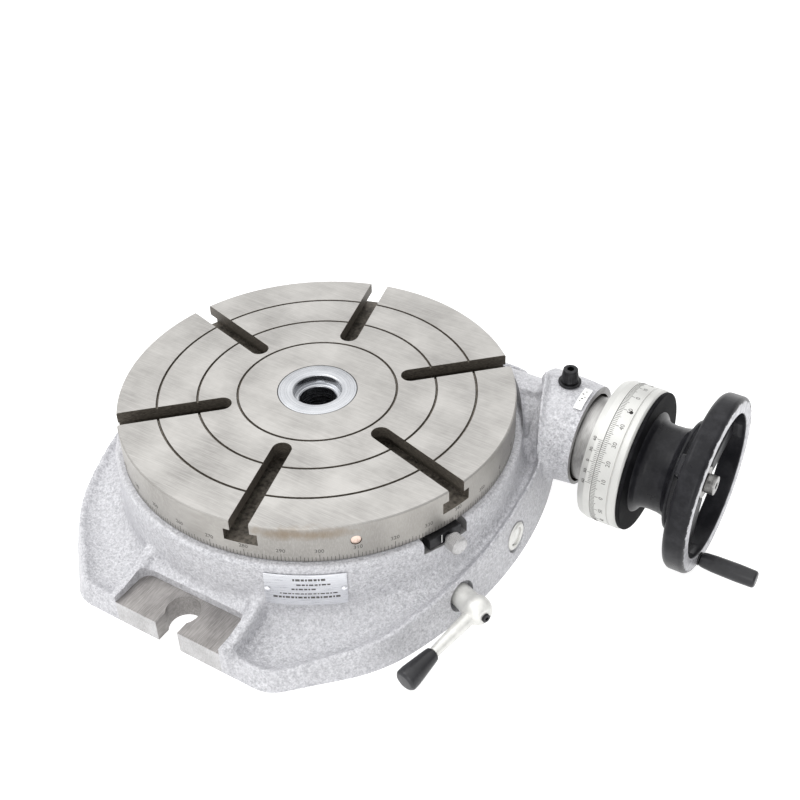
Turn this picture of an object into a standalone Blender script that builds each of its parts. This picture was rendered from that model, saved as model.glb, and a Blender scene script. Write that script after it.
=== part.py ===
"""A 250 mm horizontal rotary table: worm-driven worktable on a cast base with two slotted lugs.

World frame: Z up, base plane at z = 0, worktable axis on the Z axis. The worm axis runs along +X
towards the handwheel, and the two clamping lugs point to -Y and +Y.
"""

from math import acos, atan2, cos, pi, radians, sin, sqrt, tan

import bmesh
import bpy
from mathutils import Matrix, Vector

MM = 0.001
GAP = 0.3 * MM
OVERRUN = 5 * MM
ORIGIN = Matrix.Identity(4)
# Turns an outline drawn in local X and Y into one in world Y and Z, extruded along world X
SIDEWAYS = Matrix(((0, 0, 1, 0), (1, 0, 0, 0), (0, 1, 0, 0), (0, 0, 0, 1)))

# Heights above the base plane
TOTAL_HEIGHT = 81 * MM
RING_TOP = 55 * MM
SEAT_TOP = 60.5 * MM
WEB_TOP = 25 * MM
WEB_BOTTOM = 21 * MM
PEDESTAL_TOP = 45.2 * MM
COVER_RECESS = 4.3 * MM

# Worktable
TABLE_RADIUS = 125 * MM
SKIRT_INNER_RADIUS = 118.6 * MM
TABLE_BOSS_RADIUS = 74 * MM
TABLE_BOSS_BOTTOM = 45.6 * MM
JOURNAL_RADIUS = 30 * MM
JOURNAL_BOTTOM = 20 * MM
TSLOT_COUNT = 6
TSLOT_FIRST_ANGLE = radians(44)
TSLOT_THROAT = 12 * MM
TSLOT_THROAT_DEPTH = 7.5 * MM
TSLOT_TEE = 20.5 * MM
TSLOT_TEE_DEPTH = 15.5 * MM
TSLOT_END_CENTRE = 60 * MM
TABLE_STEPS = 60

# Centre sleeve with a Morse no. 3 taper
SLEEVE_RADIUS = 25 * MM
SLEEVE_LENGTH = 40 * MM
SLEEVE_RECESS_RADIUS = 15 * MM
SLEEVE_RECESS_DEPTH = 6 * MM
TAPER_LARGE_RADIUS = 11.91 * MM
TAPER_PER_LENGTH = 0.02510
JOURNAL_BORE_RADIUS = 12.5 * MM

# Worm gear pair, 90 : 1, one start
MODULE = 1.8 * MM
WHEEL_TEETH = 90
WORM_PITCH_RADIUS = 8.75 * MM
WHEEL_PITCH_RADIUS = MODULE * WHEEL_TEETH / 2
CENTRE_DISTANCE = WORM_PITCH_RADIUS + WHEEL_PITCH_RADIUS
AXIAL_PITCH = pi * MODULE
TOOTH_WIDTH = 2.5 * MM
TOOTH_ADDENDUM = 1.4 * MM
TOOTH_DEDENDUM = 1.9 * MM
PRESSURE_SLOPE = tan(radians(20))
WORM_HEIGHT = 36 * MM
WHEEL_BOTTOM = 27 * MM
WHEEL_TOP = TABLE_BOSS_BOTTOM - GAP
WHEEL_BORE_RADIUS = 43.5 * MM
CAVITY_RADIUS = 84 * MM

# Eccentric sleeve that carries the worm
ECCENTRICITY = 3 * MM
ECCENTRIC_HEIGHT = WORM_HEIGHT + ECCENTRICITY
SLEEVE_BODY_RADIUS = 14.2 * MM
WORM_BORE_RADIUS = 10.4 * MM
SLEEVE_HEAD_RADIUS = 28.2 * MM
SLEEVE_REAR_X = -62 * MM
SLEEVE_HEAD_X = 121 * MM
SLEEVE_FRONT_X = 161 * MM
BOSS_FACE_X = 149 * MM
WORM_BORE_REAR_X = -66 * MM
HOUSING_RADIUS = 26 * MM
BOSS_RADIUS = 34.8 * MM
BOSS_CENTRE_HEIGHT = 41 * MM
WINDOW_HALF_LENGTH = 40 * MM
WINDOW_FIRST_ANGLE = radians(60)
WINDOW_LAST_ANGLE = radians(243)
SLEEVE_BEARING_RADIUS = 20.3 * MM
SLEEVE_BEARING_X = 139.7 * MM

# Dials and handwheel, along the worm axis
DIAL_RADIUS = 46.6 * MM
VERNIER_FRONT_X = 170.3 * MM
DIAL_REAR_X = 170.6 * MM
DIAL_FRONT_X = 187.2 * MM
WHEEL_RIM_RADIUS = 58 * MM
WHEEL_RIM_INNER_RADIUS = 47.5 * MM
WHEEL_RIM_REAR_X = 222 * MM
WHEEL_RIM_FRONT_X = 236 * MM
SHAFT_RADIUS = 8 * MM
SHAFT_REAR_X = -60 * MM
REAR_JOURNAL_RADIUS = 6.4 * MM
SHAFT_FRONT_X = 222 * MM
CRANK_ANGLE = radians(252.5)
CRANK_RADIUS = 51.5 * MM
CRANK_GRIP_RADIUS = 5.6 * MM
CRANK_GRIP_LENGTH = 36 * MM

# Base casting
BASE_HALF_WIDTH = 142.2 * MM
BASE_HALF_LENGTH = 160.5 * MM
WALL_HEIGHT = 39 * MM
WALL_DRAFT = 5 * MM
LIP_HEIGHT = 3 * MM
LIP_WIDTH = 11 * MM
RING_RADIUS = 129.5 * MM
SEAT_RADIUS = 117.9 * MM
BOTTOM_CAVITY_RADIUS = 70 * MM
COVER_RADIUS = 79.6 * MM
LUG_HEIGHT = 15.5 * MM
LUG_HALF_WIDTH = 38.5 * MM
LUG_CREST_WIDTH = 5.5 * MM
LUG_CREST_FRONT = 17.5 * MM
LUG_CREST_ROOT = 27 * MM
LUG_PAD_DEPTH = 27.5 * MM
LUG_SLOT_WIDTH = 16 * MM
LUG_SLOT_END_RADIUS = 10.5 * MM
LUG_SLOT_END_Y = 145 * MM

# Clamp lever, on a radial axis of the base
CLAMP_ANGLE = radians(-21.4)
CLAMP_HEIGHT = 15.1 * MM
CLAMP_HUB_DISTANCE = 158 * MM
CLAMP_HUB_RADIUS = 9 * MM
CLAMP_ROD_RADIUS = 5 * MM
CLAMP_DISC_RADIUS = 62 * MM
LEVER_TILT = radians(10)
LEVER_DROP = radians(7)
LEVER_LENGTH = 63 * MM

# Small outside fittings
INDEX_ANGLE = radians(-21.2)
INDEX_RECESS_WIDTH = 31.5 * MM
INDEX_BLOCK_WIDTH = 23 * MM
INDEX_BOTTOM = 46.5 * MM
INDEX_KNOB_ANGLE = radians(-20.3)
INDEX_KNOB_HEIGHT = 49.6 * MM
SIGHT_Y = 5.5 * MM
SIGHT_HEIGHT = 17 * MM
SIGHT_RADIUS = 9.5 * MM
PLATE_ANGLE = radians(-59.5)
PLATE_WIDTH = 47.5 * MM
PLATE_HEIGHT = 24 * MM
PLATE_CENTRE_HEIGHT = 38 * MM
LOCK_SCREW_X = 131 * MM
LOCK_SCREW_Y = 92 * MM
LOCK_SEAT_HEIGHT = 75.3 * MM


# ---------------------------------------------------------------- scene, materials and helpers


def clear_scene():
    for obj in list(bpy.data.objects):
        bpy.data.objects.remove(obj, do_unlink=True)
    for mesh in list(bpy.data.meshes):
        bpy.data.meshes.remove(mesh)


def new_collection(name, hidden=False):
    collection = bpy.data.collections.new(name)
    bpy.context.scene.collection.children.link(collection)
    collection.hide_render = hidden
    return collection


def material(name, colour, roughness, metallic):
    made = bpy.data.materials.new(name)
    made.use_nodes = True
    shader = made.node_tree.nodes["Principled BSDF"]
    shader.inputs["Base Color"].default_value = (*colour, 1.0)
    shader.inputs["Roughness"].default_value = roughness
    shader.inputs["Metallic"].default_value = metallic
    return made


def add_object(name, mesh, finish=None, placed=ORIGIN):
    """A part when it has a finish, else a cutter."""
    obj = bpy.data.objects.new(name, mesh)
    if finish is None:
        CUTTERS.objects.link(obj)
        obj.hide_render = True
        obj.display_type = "WIRE"
    else:
        PARTS.objects.link(obj)
        mesh.materials.append(finish)
    obj.matrix_world = placed
    return obj


def mesh_from(bm, name):
    bmesh.ops.recalc_face_normals(bm, faces=bm.faces)
    mesh = bpy.data.meshes.new(name)
    bm.to_mesh(mesh)
    bm.free()
    return mesh


def smooth(mesh):
    mesh.shade_smooth()
    mesh.set_sharp_from_angle(angle=radians(35))


def cylinder(name, radius, start, end, finish=None, placed=ORIGIN, segments=24):
    """A cylinder along local Z from start to end."""
    bm = bmesh.new()
    middle = Matrix.Translation((0, 0, (start + end) / 2))
    bmesh.ops.create_cone(
        bm,
        cap_ends=True,
        segments=segments,
        radius1=radius,
        radius2=radius,
        depth=end - start,
        matrix=middle,
    )
    mesh = mesh_from(bm, name)
    smooth(mesh)
    return add_object(name, mesh, finish, placed)


def box(name, low, high, finish=None, placed=ORIGIN):
    """A box between two local corners."""
    low = Vector(low)
    high = Vector(high)
    bm = bmesh.new()
    size = Matrix.Diagonal((*(high - low), 1.0))
    bmesh.ops.create_cube(bm, size=1, matrix=Matrix.Translation((low + high) / 2) @ size)
    return add_object(name, mesh_from(bm, name), finish, placed)


def prism(name, outline, bottom, top, finish=None, placed=ORIGIN):
    """A flat outline of (x, y) points, extruded along local Z."""
    bm = bmesh.new()
    face = bm.faces.new([bm.verts.new((x, y, bottom)) for x, y in outline])
    grown = bmesh.ops.extrude_face_region(bm, geom=[face])
    raised = [item for item in grown["geom"] if isinstance(item, bmesh.types.BMVert)]
    bmesh.ops.translate(bm, verts=raised, vec=(0, 0, top - bottom))
    return add_object(name, mesh_from(bm, name), finish, placed)


def turned(name, profile, finish=None, placed=ORIGIN, steps=32):
    """A profile of (radius, height) points turned about local Z, running down its outer side.

    A profile that doesn't start on the axis is closed, and makes a ring.
    """
    bm = bmesh.new()
    verts = [bm.verts.new((radius, 0, height)) for radius, height in profile]
    for first, second in zip(verts, verts[1:]):
        bm.edges.new((first, second))
    if profile[0][0] > 0:
        bm.edges.new((verts[-1], verts[0]))
    mesh = bpy.data.meshes.new(name)
    bm.to_mesh(mesh)
    bm.free()
    obj = add_object(name, mesh, finish, placed)
    screw = obj.modifiers.new("Screw", "SCREW")
    screw.axis = "Z"
    screw.steps = steps
    screw.render_steps = steps
    screw.use_merge_vertices = True
    screw.merge_threshold = 0.00001
    screw.use_smooth_shade = True
    return obj


def cut(target, cutter, name=None):
    modifier = target.modifiers.new(name or "Cut " + cutter.name, "BOOLEAN")
    modifier.operation = "DIFFERENCE"
    modifier.solver = "EXACT"
    modifier.object = cutter
    return modifier


def join(target, piece):
    modifier = cut(target, piece, "Join " + piece.name)
    modifier.operation = "UNION"


def keep_inside(target, piece):
    modifier = cut(target, piece, "Inside " + piece.name)
    modifier.operation = "INTERSECT"


def at(x, y, z):
    return Matrix.Translation((x, y, z))


def along_x(x=0.0, y=0.0, z=0.0):
    """Local Z turned to world +X, with local X pointing down, and moved to a point."""
    return at(x, y, z) @ Matrix.Rotation(pi / 2, 4, "Y")


def radial(angle, height):
    """Local Z turned to point outward at an angle about the Z axis, from the axis, at a height."""
    return at(0, 0, height) @ Matrix.Rotation(angle, 4, "Z") @ Matrix.Rotation(pi / 2, 4, "Y")


def worm_axis(x=0.0):
    return along_x(x, CENTRE_DISTANCE, WORM_HEIGHT)


def eccentric_axis(x=0.0):
    return along_x(x, CENTRE_DISTANCE, ECCENTRIC_HEIGHT)


def hexagon(across_flats):
    corner_radius = across_flats / sqrt(3)
    return [(corner_radius * cos(pi * i / 3), corner_radius * sin(pi * i / 3)) for i in range(6)]


def ring(name, inner, outer, start, end, finish, placed=ORIGIN, steps=32):
    profile = [(inner, end), (outer, end), (outer, start), (inner, start)]
    return turned(name, profile, finish, placed, steps)


def socket_screw(name, placed, shank_radius, shank_length, finish, head=(1.6, 1.6), steps=16):
    """A socket-head cap screw: head on +Z above the origin, shank below it.

    head gives the head's radius and height as multiples of the shank's radius and diameter.
    """
    head_radius = head[0] * shank_radius
    head_height = head[1] * shank_radius
    chamfer = 0.15 * shank_radius
    profile = [
        (0, head_height),
        (head_radius - chamfer, head_height),
        (head_radius, head_height - chamfer),
        (head_radius, 0),
        (shank_radius, 0),
        (shank_radius, -shank_length + chamfer),
        (shank_radius - chamfer, -shank_length),
        (0, -shank_length),
    ]
    screw = turned(name, profile, finish, placed, steps)
    key = hexagon(1.45 * shank_radius)
    socket = prism(name + "_socket", key, 0.4 * head_height, head_height + MM, None, placed)
    cut(screw, socket)
    return screw


def countersunk_screw(name, placed, shank_radius, shank_length, finish, steps=16):
    """A countersunk screw: its flat head is flush with the origin plane, and its shank runs down -Z."""
    head_radius = 1.9 * shank_radius
    profile = [
        (0, 0),
        (head_radius, 0),
        (head_radius, -0.15 * shank_radius),
        (shank_radius, -0.15 * shank_radius - (head_radius - shank_radius)),
        (shank_radius, -shank_length),
        (0, -shank_length),
    ]
    screw = turned(name, profile, finish, placed, steps)
    slot_depth = 0.5 * shank_radius
    slot_half_width = 0.22 * shank_radius
    slot = box(
        name + "_slot",
        (-2 * head_radius, -slot_half_width, -slot_depth),
        (2 * head_radius, slot_half_width, MM),
        None,
        placed,
    )
    cut(screw, slot)
    return screw


def screw_hole(target, name, placed, shank_radius, depth, countersink=False):
    """Clears a screw whose head rests on the origin plane, or is sunk below it."""
    clear_radius = shank_radius + GAP
    if countersink:
        head_radius = 1.9 * shank_radius + GAP
        land = -0.15 * shank_radius - GAP
        profile = [
            (0, OVERRUN),
            (head_radius, OVERRUN),
            (head_radius, land),
            (clear_radius, land - (head_radius - clear_radius)),
            (clear_radius, -depth),
            (0, -depth),
        ]
        cut(target, turned(name, profile, None, placed, 10))
    else:
        cut(target, cylinder(name, clear_radius, -depth, OVERRUN, None, placed, 10))


def offset_polygon(corners, inset):
    """The corners of a counter-clockwise polygon with every side moved inwards."""
    moved = []
    count = len(corners)
    for i in range(count):
        before = Vector(corners[i - 1][:2])
        here = Vector(corners[i][:2])
        after = Vector(corners[(i + 1) % count][:2])
        first = (here - before).normalized()
        second = (after - here).normalized()
        first_normal = Vector((-first.y, first.x))
        second_normal = Vector((-second.y, second.x))
        middle = (first_normal + second_normal).normalized()
        point = here + middle * inset / middle.dot(first_normal)
        moved.append((point.x, point.y, corners[i][2] - inset))
    return moved


def rounded_outline(corners, step=radians(12)):
    """Points along a polygon of (x, y, radius) corners, each rounded to its radius."""
    points = []
    count = len(corners)
    for i in range(count):
        before = Vector(corners[i - 1][:2])
        here = Vector(corners[i][:2])
        after = Vector(corners[(i + 1) % count][:2])
        radius = corners[i][2]
        into = (before - here).normalized()
        out = (after - here).normalized()
        turn = pi - acos(max(-1.0, min(1.0, into.dot(out))))
        reach = radius * tan(turn / 2)
        start = here + into * reach
        centre = start + Vector((into.y, -into.x)) * radius
        pieces = max(2, round(turn / step))
        for k in range(pieces + 1):
            spoke = Matrix.Rotation(turn * k / pieces, 2) @ (start - centre)
            points.append(tuple(centre + spoke))
    return points


def curved_plate(name, inner, thickness, start, end, low, high, finish, placed, pieces=10):
    """A plate bent about local Z, between two angles and two heights."""
    angles = [start + (end - start) * i / pieces for i in range(pieces + 1)]
    inside = [(inner * cos(a), inner * sin(a)) for a in angles]
    outer = inner + thickness
    outside = [(outer * cos(a), outer * sin(a)) for a in reversed(angles)]
    return prism(name, inside + outside, low, high, finish, placed)


# ---------------------------------------------------------------- base casting


def base_corners():
    """The base's outline as rounded corners, counter-clockwise from the +X side's front."""
    quarter = [(142.2, 49.4, 262), (117.0, 114.1, 96), (70.6, 160.5, 20)]
    scaled = [(x * MM, y * MM, r * MM) for x, y, r in quarter]
    back_right = scaled
    back_left = [(-x, y, r) for x, y, r in reversed(scaled)]
    front_left = [(-x, -y, r) for x, y, r in scaled]
    front_right = [(x, -y, r) for x, y, r in reversed(scaled)]
    return back_right + back_left + front_left + front_right


def drafted_hull(name):
    """The outer wall's solid, leaning inwards by the draft towards its top."""
    bottom = rounded_outline(base_corners())
    top = rounded_outline(offset_polygon(base_corners(), WALL_DRAFT))
    bm = bmesh.new()
    low = [bm.verts.new((x, y, 0)) for x, y in bottom]
    high = [bm.verts.new((x, y, WALL_HEIGHT + OVERRUN)) for x, y in top]
    bm.faces.new(reversed(low))
    bm.faces.new(high)
    for i in range(len(low)):
        j = (i + 1) % len(low)
        bm.faces.new((low[i], low[j], high[j], high[i]))
    return add_object(name, mesh_from(bm, name), PAINTED_IRON)


def deck_profile(name, drop):
    """Everything below the sloping deck, lowered by drop: flat beside the worm, falling to both lugs."""
    front_start = 20 * MM
    back_start = 60 * MM
    lug_deck = 13.5 * MM
    reach = 175 * MM
    front_slope = (WALL_HEIGHT - lug_deck) / (BASE_HALF_LENGTH + front_start)
    back_slope = (WALL_HEIGHT - lug_deck) / (BASE_HALF_LENGTH - back_start)
    outline = [
        (-reach, -OVERRUN),
        (reach, -OVERRUN),
        (reach, WALL_HEIGHT - drop - back_slope * (reach - back_start)),
        (back_start, WALL_HEIGHT - drop),
        (front_start, WALL_HEIGHT - drop),
        (-reach, WALL_HEIGHT - drop - front_slope * (reach + front_start)),
    ]
    return prism(name, outline, -reach, reach, None, SIDEWAYS)


def deck_trough():
    """What is scooped out between the raised lip and the middle of the base."""
    outline = rounded_outline(offset_polygon(base_corners(), LIP_WIDTH))
    trough = prism("trough_cutter", outline, -OVERRUN, TOTAL_HEIGHT)
    cut(trough, deck_profile("trough_floor", LIP_HEIGHT))
    return trough


def worm_housing():
    """The ridge over the worm, and the boss that holds the eccentric sleeve's head."""
    ridge = cylinder("worm_ridge", HOUSING_RADIUS, 0, 118 * MM, None, eccentric_axis(), 40)
    neck_x = 92 * MM
    shoulder_x = 114 * MM
    profile = [
        (0, BOSS_FACE_X),
        (BOSS_RADIUS - 3 * MM, BOSS_FACE_X),
        (BOSS_RADIUS - 1.5 * MM, BOSS_FACE_X - 1.5 * MM),
        (BOSS_RADIUS, 134 * MM),
        (BOSS_RADIUS, shoulder_x),
        (HOUSING_RADIUS - MM, neck_x),
        (0, neck_x),
    ]
    boss = turned("worm_boss", profile, None, along_x(0, CENTRE_DISTANCE, BOSS_CENTRE_HEIGHT), 40)
    return ridge, boss


def base_cavities():
    """The gear space, the pedestal's bore, the clamp space below and the recess for the cover."""
    profile = [
        (0, TOTAL_HEIGHT),
        (CAVITY_RADIUS, TOTAL_HEIGHT),
        (CAVITY_RADIUS, WEB_TOP),
        (WHEEL_BORE_RADIUS - 1.5 * MM, WEB_TOP),
        (WHEEL_BORE_RADIUS - 1.5 * MM, PEDESTAL_TOP),
        (JOURNAL_RADIUS + GAP, PEDESTAL_TOP),
        (JOURNAL_RADIUS + GAP, WEB_BOTTOM),
        (BOTTOM_CAVITY_RADIUS, WEB_BOTTOM),
        (BOTTOM_CAVITY_RADIUS, COVER_RECESS),
        (COVER_RADIUS + 0.4 * MM, COVER_RECESS),
        (COVER_RADIUS + 0.4 * MM, -OVERRUN),
        (0, -OVERRUN),
    ]
    return turned("base_cavity", profile, None, steps=40)


def worm_bore():
    profile = [
        (0, BOSS_FACE_X + OVERRUN),
        (SLEEVE_HEAD_RADIUS + GAP, BOSS_FACE_X + OVERRUN),
        (SLEEVE_HEAD_RADIUS + GAP, SLEEVE_HEAD_X - GAP),
        (SLEEVE_BODY_RADIUS + GAP, SLEEVE_HEAD_X - GAP),
        (SLEEVE_BODY_RADIUS + GAP, WORM_BORE_REAR_X),
        (0, WORM_BORE_REAR_X),
    ]
    return turned("worm_bore_cutter", profile, None, eccentric_axis(), 36)


def lug_block(side):
    """The raised block of the lug towards side * Y, falling from the ring wall to its front face."""
    turn = Matrix.Rotation(0 if side > 0 else pi, 4, "Z")
    root_y = RING_RADIUS - 12 * MM
    front_y = BASE_HALF_LENGTH - 2.5 * MM
    outline = [
        (root_y, MM),
        (front_y, MM),
        (front_y, LUG_CREST_FRONT),
        (RING_RADIUS - 4 * MM, LUG_CREST_ROOT),
        (root_y, LUG_CREST_ROOT),
    ]
    half = LUG_HALF_WIDTH + LUG_CREST_WIDTH
    return prism(f"lug_block_{side}", outline, -half, half, None, turn @ SIDEWAYS)


def lug_cutters(side):
    """The machined pad and the bolt slot of the lug towards side * Y."""
    turn = Matrix.Rotation(0 if side > 0 else pi, 4, "Z")
    pad = box(
        f"lug_pad_cutter_{side}",
        (-LUG_HALF_WIDTH, BASE_HALF_LENGTH - LUG_PAD_DEPTH, LUG_HEIGHT),
        (LUG_HALF_WIDTH, BASE_HALF_LENGTH + OVERRUN, TOTAL_HEIGHT),
        None,
        turn,
    )
    slot = box(
        f"lug_slot_cutter_{side}",
        (-LUG_SLOT_WIDTH / 2, LUG_SLOT_END_Y, -OVERRUN),
        (LUG_SLOT_WIDTH / 2, BASE_HALF_LENGTH + OVERRUN, LUG_HEIGHT + OVERRUN),
        None,
        turn,
    )
    end = cylinder(
        f"lug_slot_end_{side}",
        LUG_SLOT_END_RADIUS,
        -OVERRUN,
        LUG_HEIGHT + OVERRUN,
        None,
        turn @ at(0, LUG_SLOT_END_Y, 0),
        24,
    )
    return pad, slot, end


def base_casting():
    base = drafted_hull("base_casting")
    keep_inside(base, deck_profile("deck_profile", 0.0))
    cut(base, deck_trough())
    join(base, cylinder("ring_wall", RING_RADIUS, OVERRUN, RING_TOP, segments=60))
    ridge, boss = worm_housing()
    join(base, ridge)
    join(base, boss)
    for side in (-1, 1):
        join(base, lug_block(side))
    cut(base, cylinder("table_clearance", TABLE_RADIUS + MM, RING_TOP, 2 * TOTAL_HEIGHT, segments=60))
    join(base, cylinder("seat_ring", SEAT_RADIUS, RING_TOP - OVERRUN, SEAT_TOP, segments=60))
    cut(base, base_cavities())
    cut(base, worm_bore())
    for side in (-1, 1):
        for cutter in lug_cutters(side):
            cut(base, cutter)
    return base


# ---------------------------------------------------------------- fittings on the base


def bottom_cover(base):
    cover = cylinder("bottom_cover", COVER_RADIUS, 0.7 * MM, COVER_RECESS - GAP, SHEET_STEEL, segments=40)
    screw_circle = 75 * MM
    shank = 2 * MM
    for i in range(4):
        place = Matrix.Rotation(radians(45 + 90 * i), 4, "Z") @ at(screw_circle, 0, 0.8 * MM)
        place = place @ Matrix.Rotation(pi, 4, "X")
        screw_hole(cover, f"cover_screw_sink_{i + 1}", place, shank, 6 * MM, countersink=True)
        screw_hole(base, f"cover_screw_hole_{i + 1}", place, shank, 12.5 * MM)
        countersunk_screw(f"cover_screw_{i + 1}", place, shank, 12 * MM, DARK_STEEL, 8)


def name_plate(base):
    half = PLATE_WIDTH / 2 / RING_RADIUS
    low = PLATE_CENTRE_HEIGHT - PLATE_HEIGHT / 2
    inner = RING_RADIUS + GAP
    thickness = 0.8 * MM
    turn = Matrix.Rotation(PLATE_ANGLE, 4, "Z")
    high = low + PLATE_HEIGHT
    plate = curved_plate("name_plate", inner, thickness, -half, half, low, high, ALUMINIUM, turn)
    rivet_reach = half * 0.92
    shank = MM
    for i, side in enumerate((-1, 1)):
        angle = PLATE_ANGLE + side * rivet_reach
        place = radial(angle, PLATE_CENTRE_HEIGHT) @ at(0, 0, inner + thickness + GAP)
        screw_hole(plate, f"rivet_hole_{i + 1}", place, shank, 3 * MM)
        screw_hole(base, f"rivet_socket_{i + 1}", place, shank, 6.5 * MM)
        head = 2 * MM
        profile = [
            (0, 0.9 * MM),
            (0.8 * head, 0.6 * MM),
            (head, 0),
            (shank, 0),
            (shank, -6 * MM),
            (0, -6 * MM),
        ]
        turned(f"name_plate_rivet_{i + 1}", profile, ALUMINIUM, place, 12)


def index_fittings(base):
    """The zero mark block in its recess, and the knurled screw that holds it."""
    turn = Matrix.Rotation(INDEX_ANGLE, 4, "Z")
    inner = 120.5 * MM
    half = INDEX_RECESS_WIDTH / 2
    recess = box("index_recess", (inner, -half, INDEX_BOTTOM), (140 * MM, half, TOTAL_HEIGHT), None, turn)
    cut(base, recess)
    seat_outer = 128.3 * MM
    half_block = INDEX_BLOCK_WIDTH / 2
    block = box(
        "index_block",
        (inner + GAP, -half_block, INDEX_BOTTOM + GAP),
        (seat_outer, half_block, RING_TOP - 0.4 * MM),
        BLACK_OXIDE,
        turn,
    )
    knob_place = radial(INDEX_KNOB_ANGLE, INDEX_KNOB_HEIGHT)
    shank = 1.8 * MM
    tip = inner + 2 * MM
    cut(block, cylinder("index_screw_hole", shank + GAP, tip - GAP, 140 * MM, None, knob_place, 12))
    start = 129.2 * MM
    end = 139.5 * MM
    knob = 5.6 * MM
    profile = [
        (0, end),
        (knob - 0.8 * MM, end),
        (knob, end - 0.8 * MM),
        (knob, start + 2.6 * MM),
        (knob - 0.8 * MM, start + 1.8 * MM),
        (3 * MM, start + 1.8 * MM),
        (3 * MM, start),
        (shank, start),
        (shank, tip),
        (0, tip),
    ]
    turned("index_knob", profile, BRIGHT_STEEL, knob_place, 16)


def oil_sight(base):
    place = along_x(0, SIGHT_Y, SIGHT_HEIGHT)
    face = 138.8 * MM
    cut(base, cylinder("sight_spotface", SIGHT_RADIUS + MM, face, 150 * MM, None, place, 24))
    cut(base, cylinder("sight_pocket", SIGHT_RADIUS - 1.5 * MM + GAP, 130 * MM, face + MM, None, place, 24))
    inner = 6 * MM
    profile = [
        (inner, face + 2 * MM),
        (SIGHT_RADIUS - MM, face + 2 * MM),
        (SIGHT_RADIUS, face + MM),
        (SIGHT_RADIUS, face + GAP),
        (SIGHT_RADIUS - 1.5 * MM, face + GAP),
        (SIGHT_RADIUS - 1.5 * MM, 131 * MM),
        (inner, 131 * MM),
    ]
    turned("oil_sight_bezel", profile, BRIGHT_STEEL, place, 16)
    cylinder("oil_sight_glass", inner - GAP, 132 * MM, face + MM, GLASS, place, 20)


def filler_plug(base):
    """A hexagon-head oil plug on the side away from the handwheel."""
    place = radial(pi, 24 * MM)
    shank = 5.5 * MM
    face = 138.2 * MM
    cut(base, cylinder("plug_spotface", 10 * MM, face, 150 * MM, None, place, 24))
    cut(base, cylinder("plug_hole", shank + GAP, 124 * MM, face + MM, None, place, 20))
    plug = cylinder("oil_filler_plug", shank, 125 * MM, face + 2 * MM, DARK_STEEL, place, 20)
    join(plug, cylinder("plug_flange", 8.5 * MM, face + GAP, face + 2.3 * MM, None, place, 24))
    join(plug, prism("plug_head", hexagon(13 * MM), face + 2 * MM, face + 8 * MM, None, place))


def sleeve_lock(base):
    """The cap screw and washer on the boss that lock the eccentric sleeve."""
    place = at(LOCK_SCREW_X, LOCK_SCREW_Y, LOCK_SEAT_HEIGHT)
    cut(base, cylinder("lock_spotface", 10 * MM, 0, 20 * MM, None, place, 24))
    screw_hole(base, "lock_screw_hole", place, 3 * MM, 9 * MM)
    washer_top = 1.9 * MM
    ring("lock_washer", 3.3 * MM, 8 * MM, GAP, washer_top, DARK_STEEL, place, 16)
    screw_place = place @ at(0, 0, washer_top + GAP)
    socket_screw("lock_screw", screw_place, 3 * MM, 6.5 * MM, BLACK_OXIDE, head=(1.8, 2.95), steps=14)


def boss_label():
    """A small blank label bent round the boss."""
    inner = BOSS_RADIUS - 0.55 * MM
    thickness = 0.5 * MM
    half = radians(15)
    place = along_x(0, CENTRE_DISTANCE, BOSS_CENTRE_HEIGHT) @ Matrix.Rotation(radians(192), 4, "Z")
    curved_plate("boss_label", inner, thickness, -half, half, 142 * MM, 147 * MM, WHITE_ENAMEL, place, 6)


# ---------------------------------------------------------------- worktable and its gear


def tslot_cutters(index):
    """The throat and the tee of one T-slot, open at the rim and rounded at the inner end."""
    turn = Matrix.Rotation(TSLOT_FIRST_ANGLE + index * 2 * pi / TSLOT_COUNT, 4, "Z")
    cutters = []
    levels = (
        ("throat", TSLOT_THROAT, -TSLOT_THROAT_DEPTH - MM, OVERRUN),
        ("tee", TSLOT_TEE, -TSLOT_TEE_DEPTH, -TSLOT_THROAT_DEPTH),
    )
    for name, width, low, high in levels:
        half = width / 2
        arc = [pi / 2 + pi * k / 6 for k in range(7)]
        outline = [(TSLOT_END_CENTRE + half * cos(a), half * sin(a)) for a in arc]
        outline += [(TABLE_RADIUS + OVERRUN, -half), (TABLE_RADIUS + OVERRUN, half)]
        bottom = TOTAL_HEIGHT + low
        cutters.append(prism(f"tslot_{name}_{index + 1}", outline, bottom, TOTAL_HEIGHT + high, None, turn))
    return cutters


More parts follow.
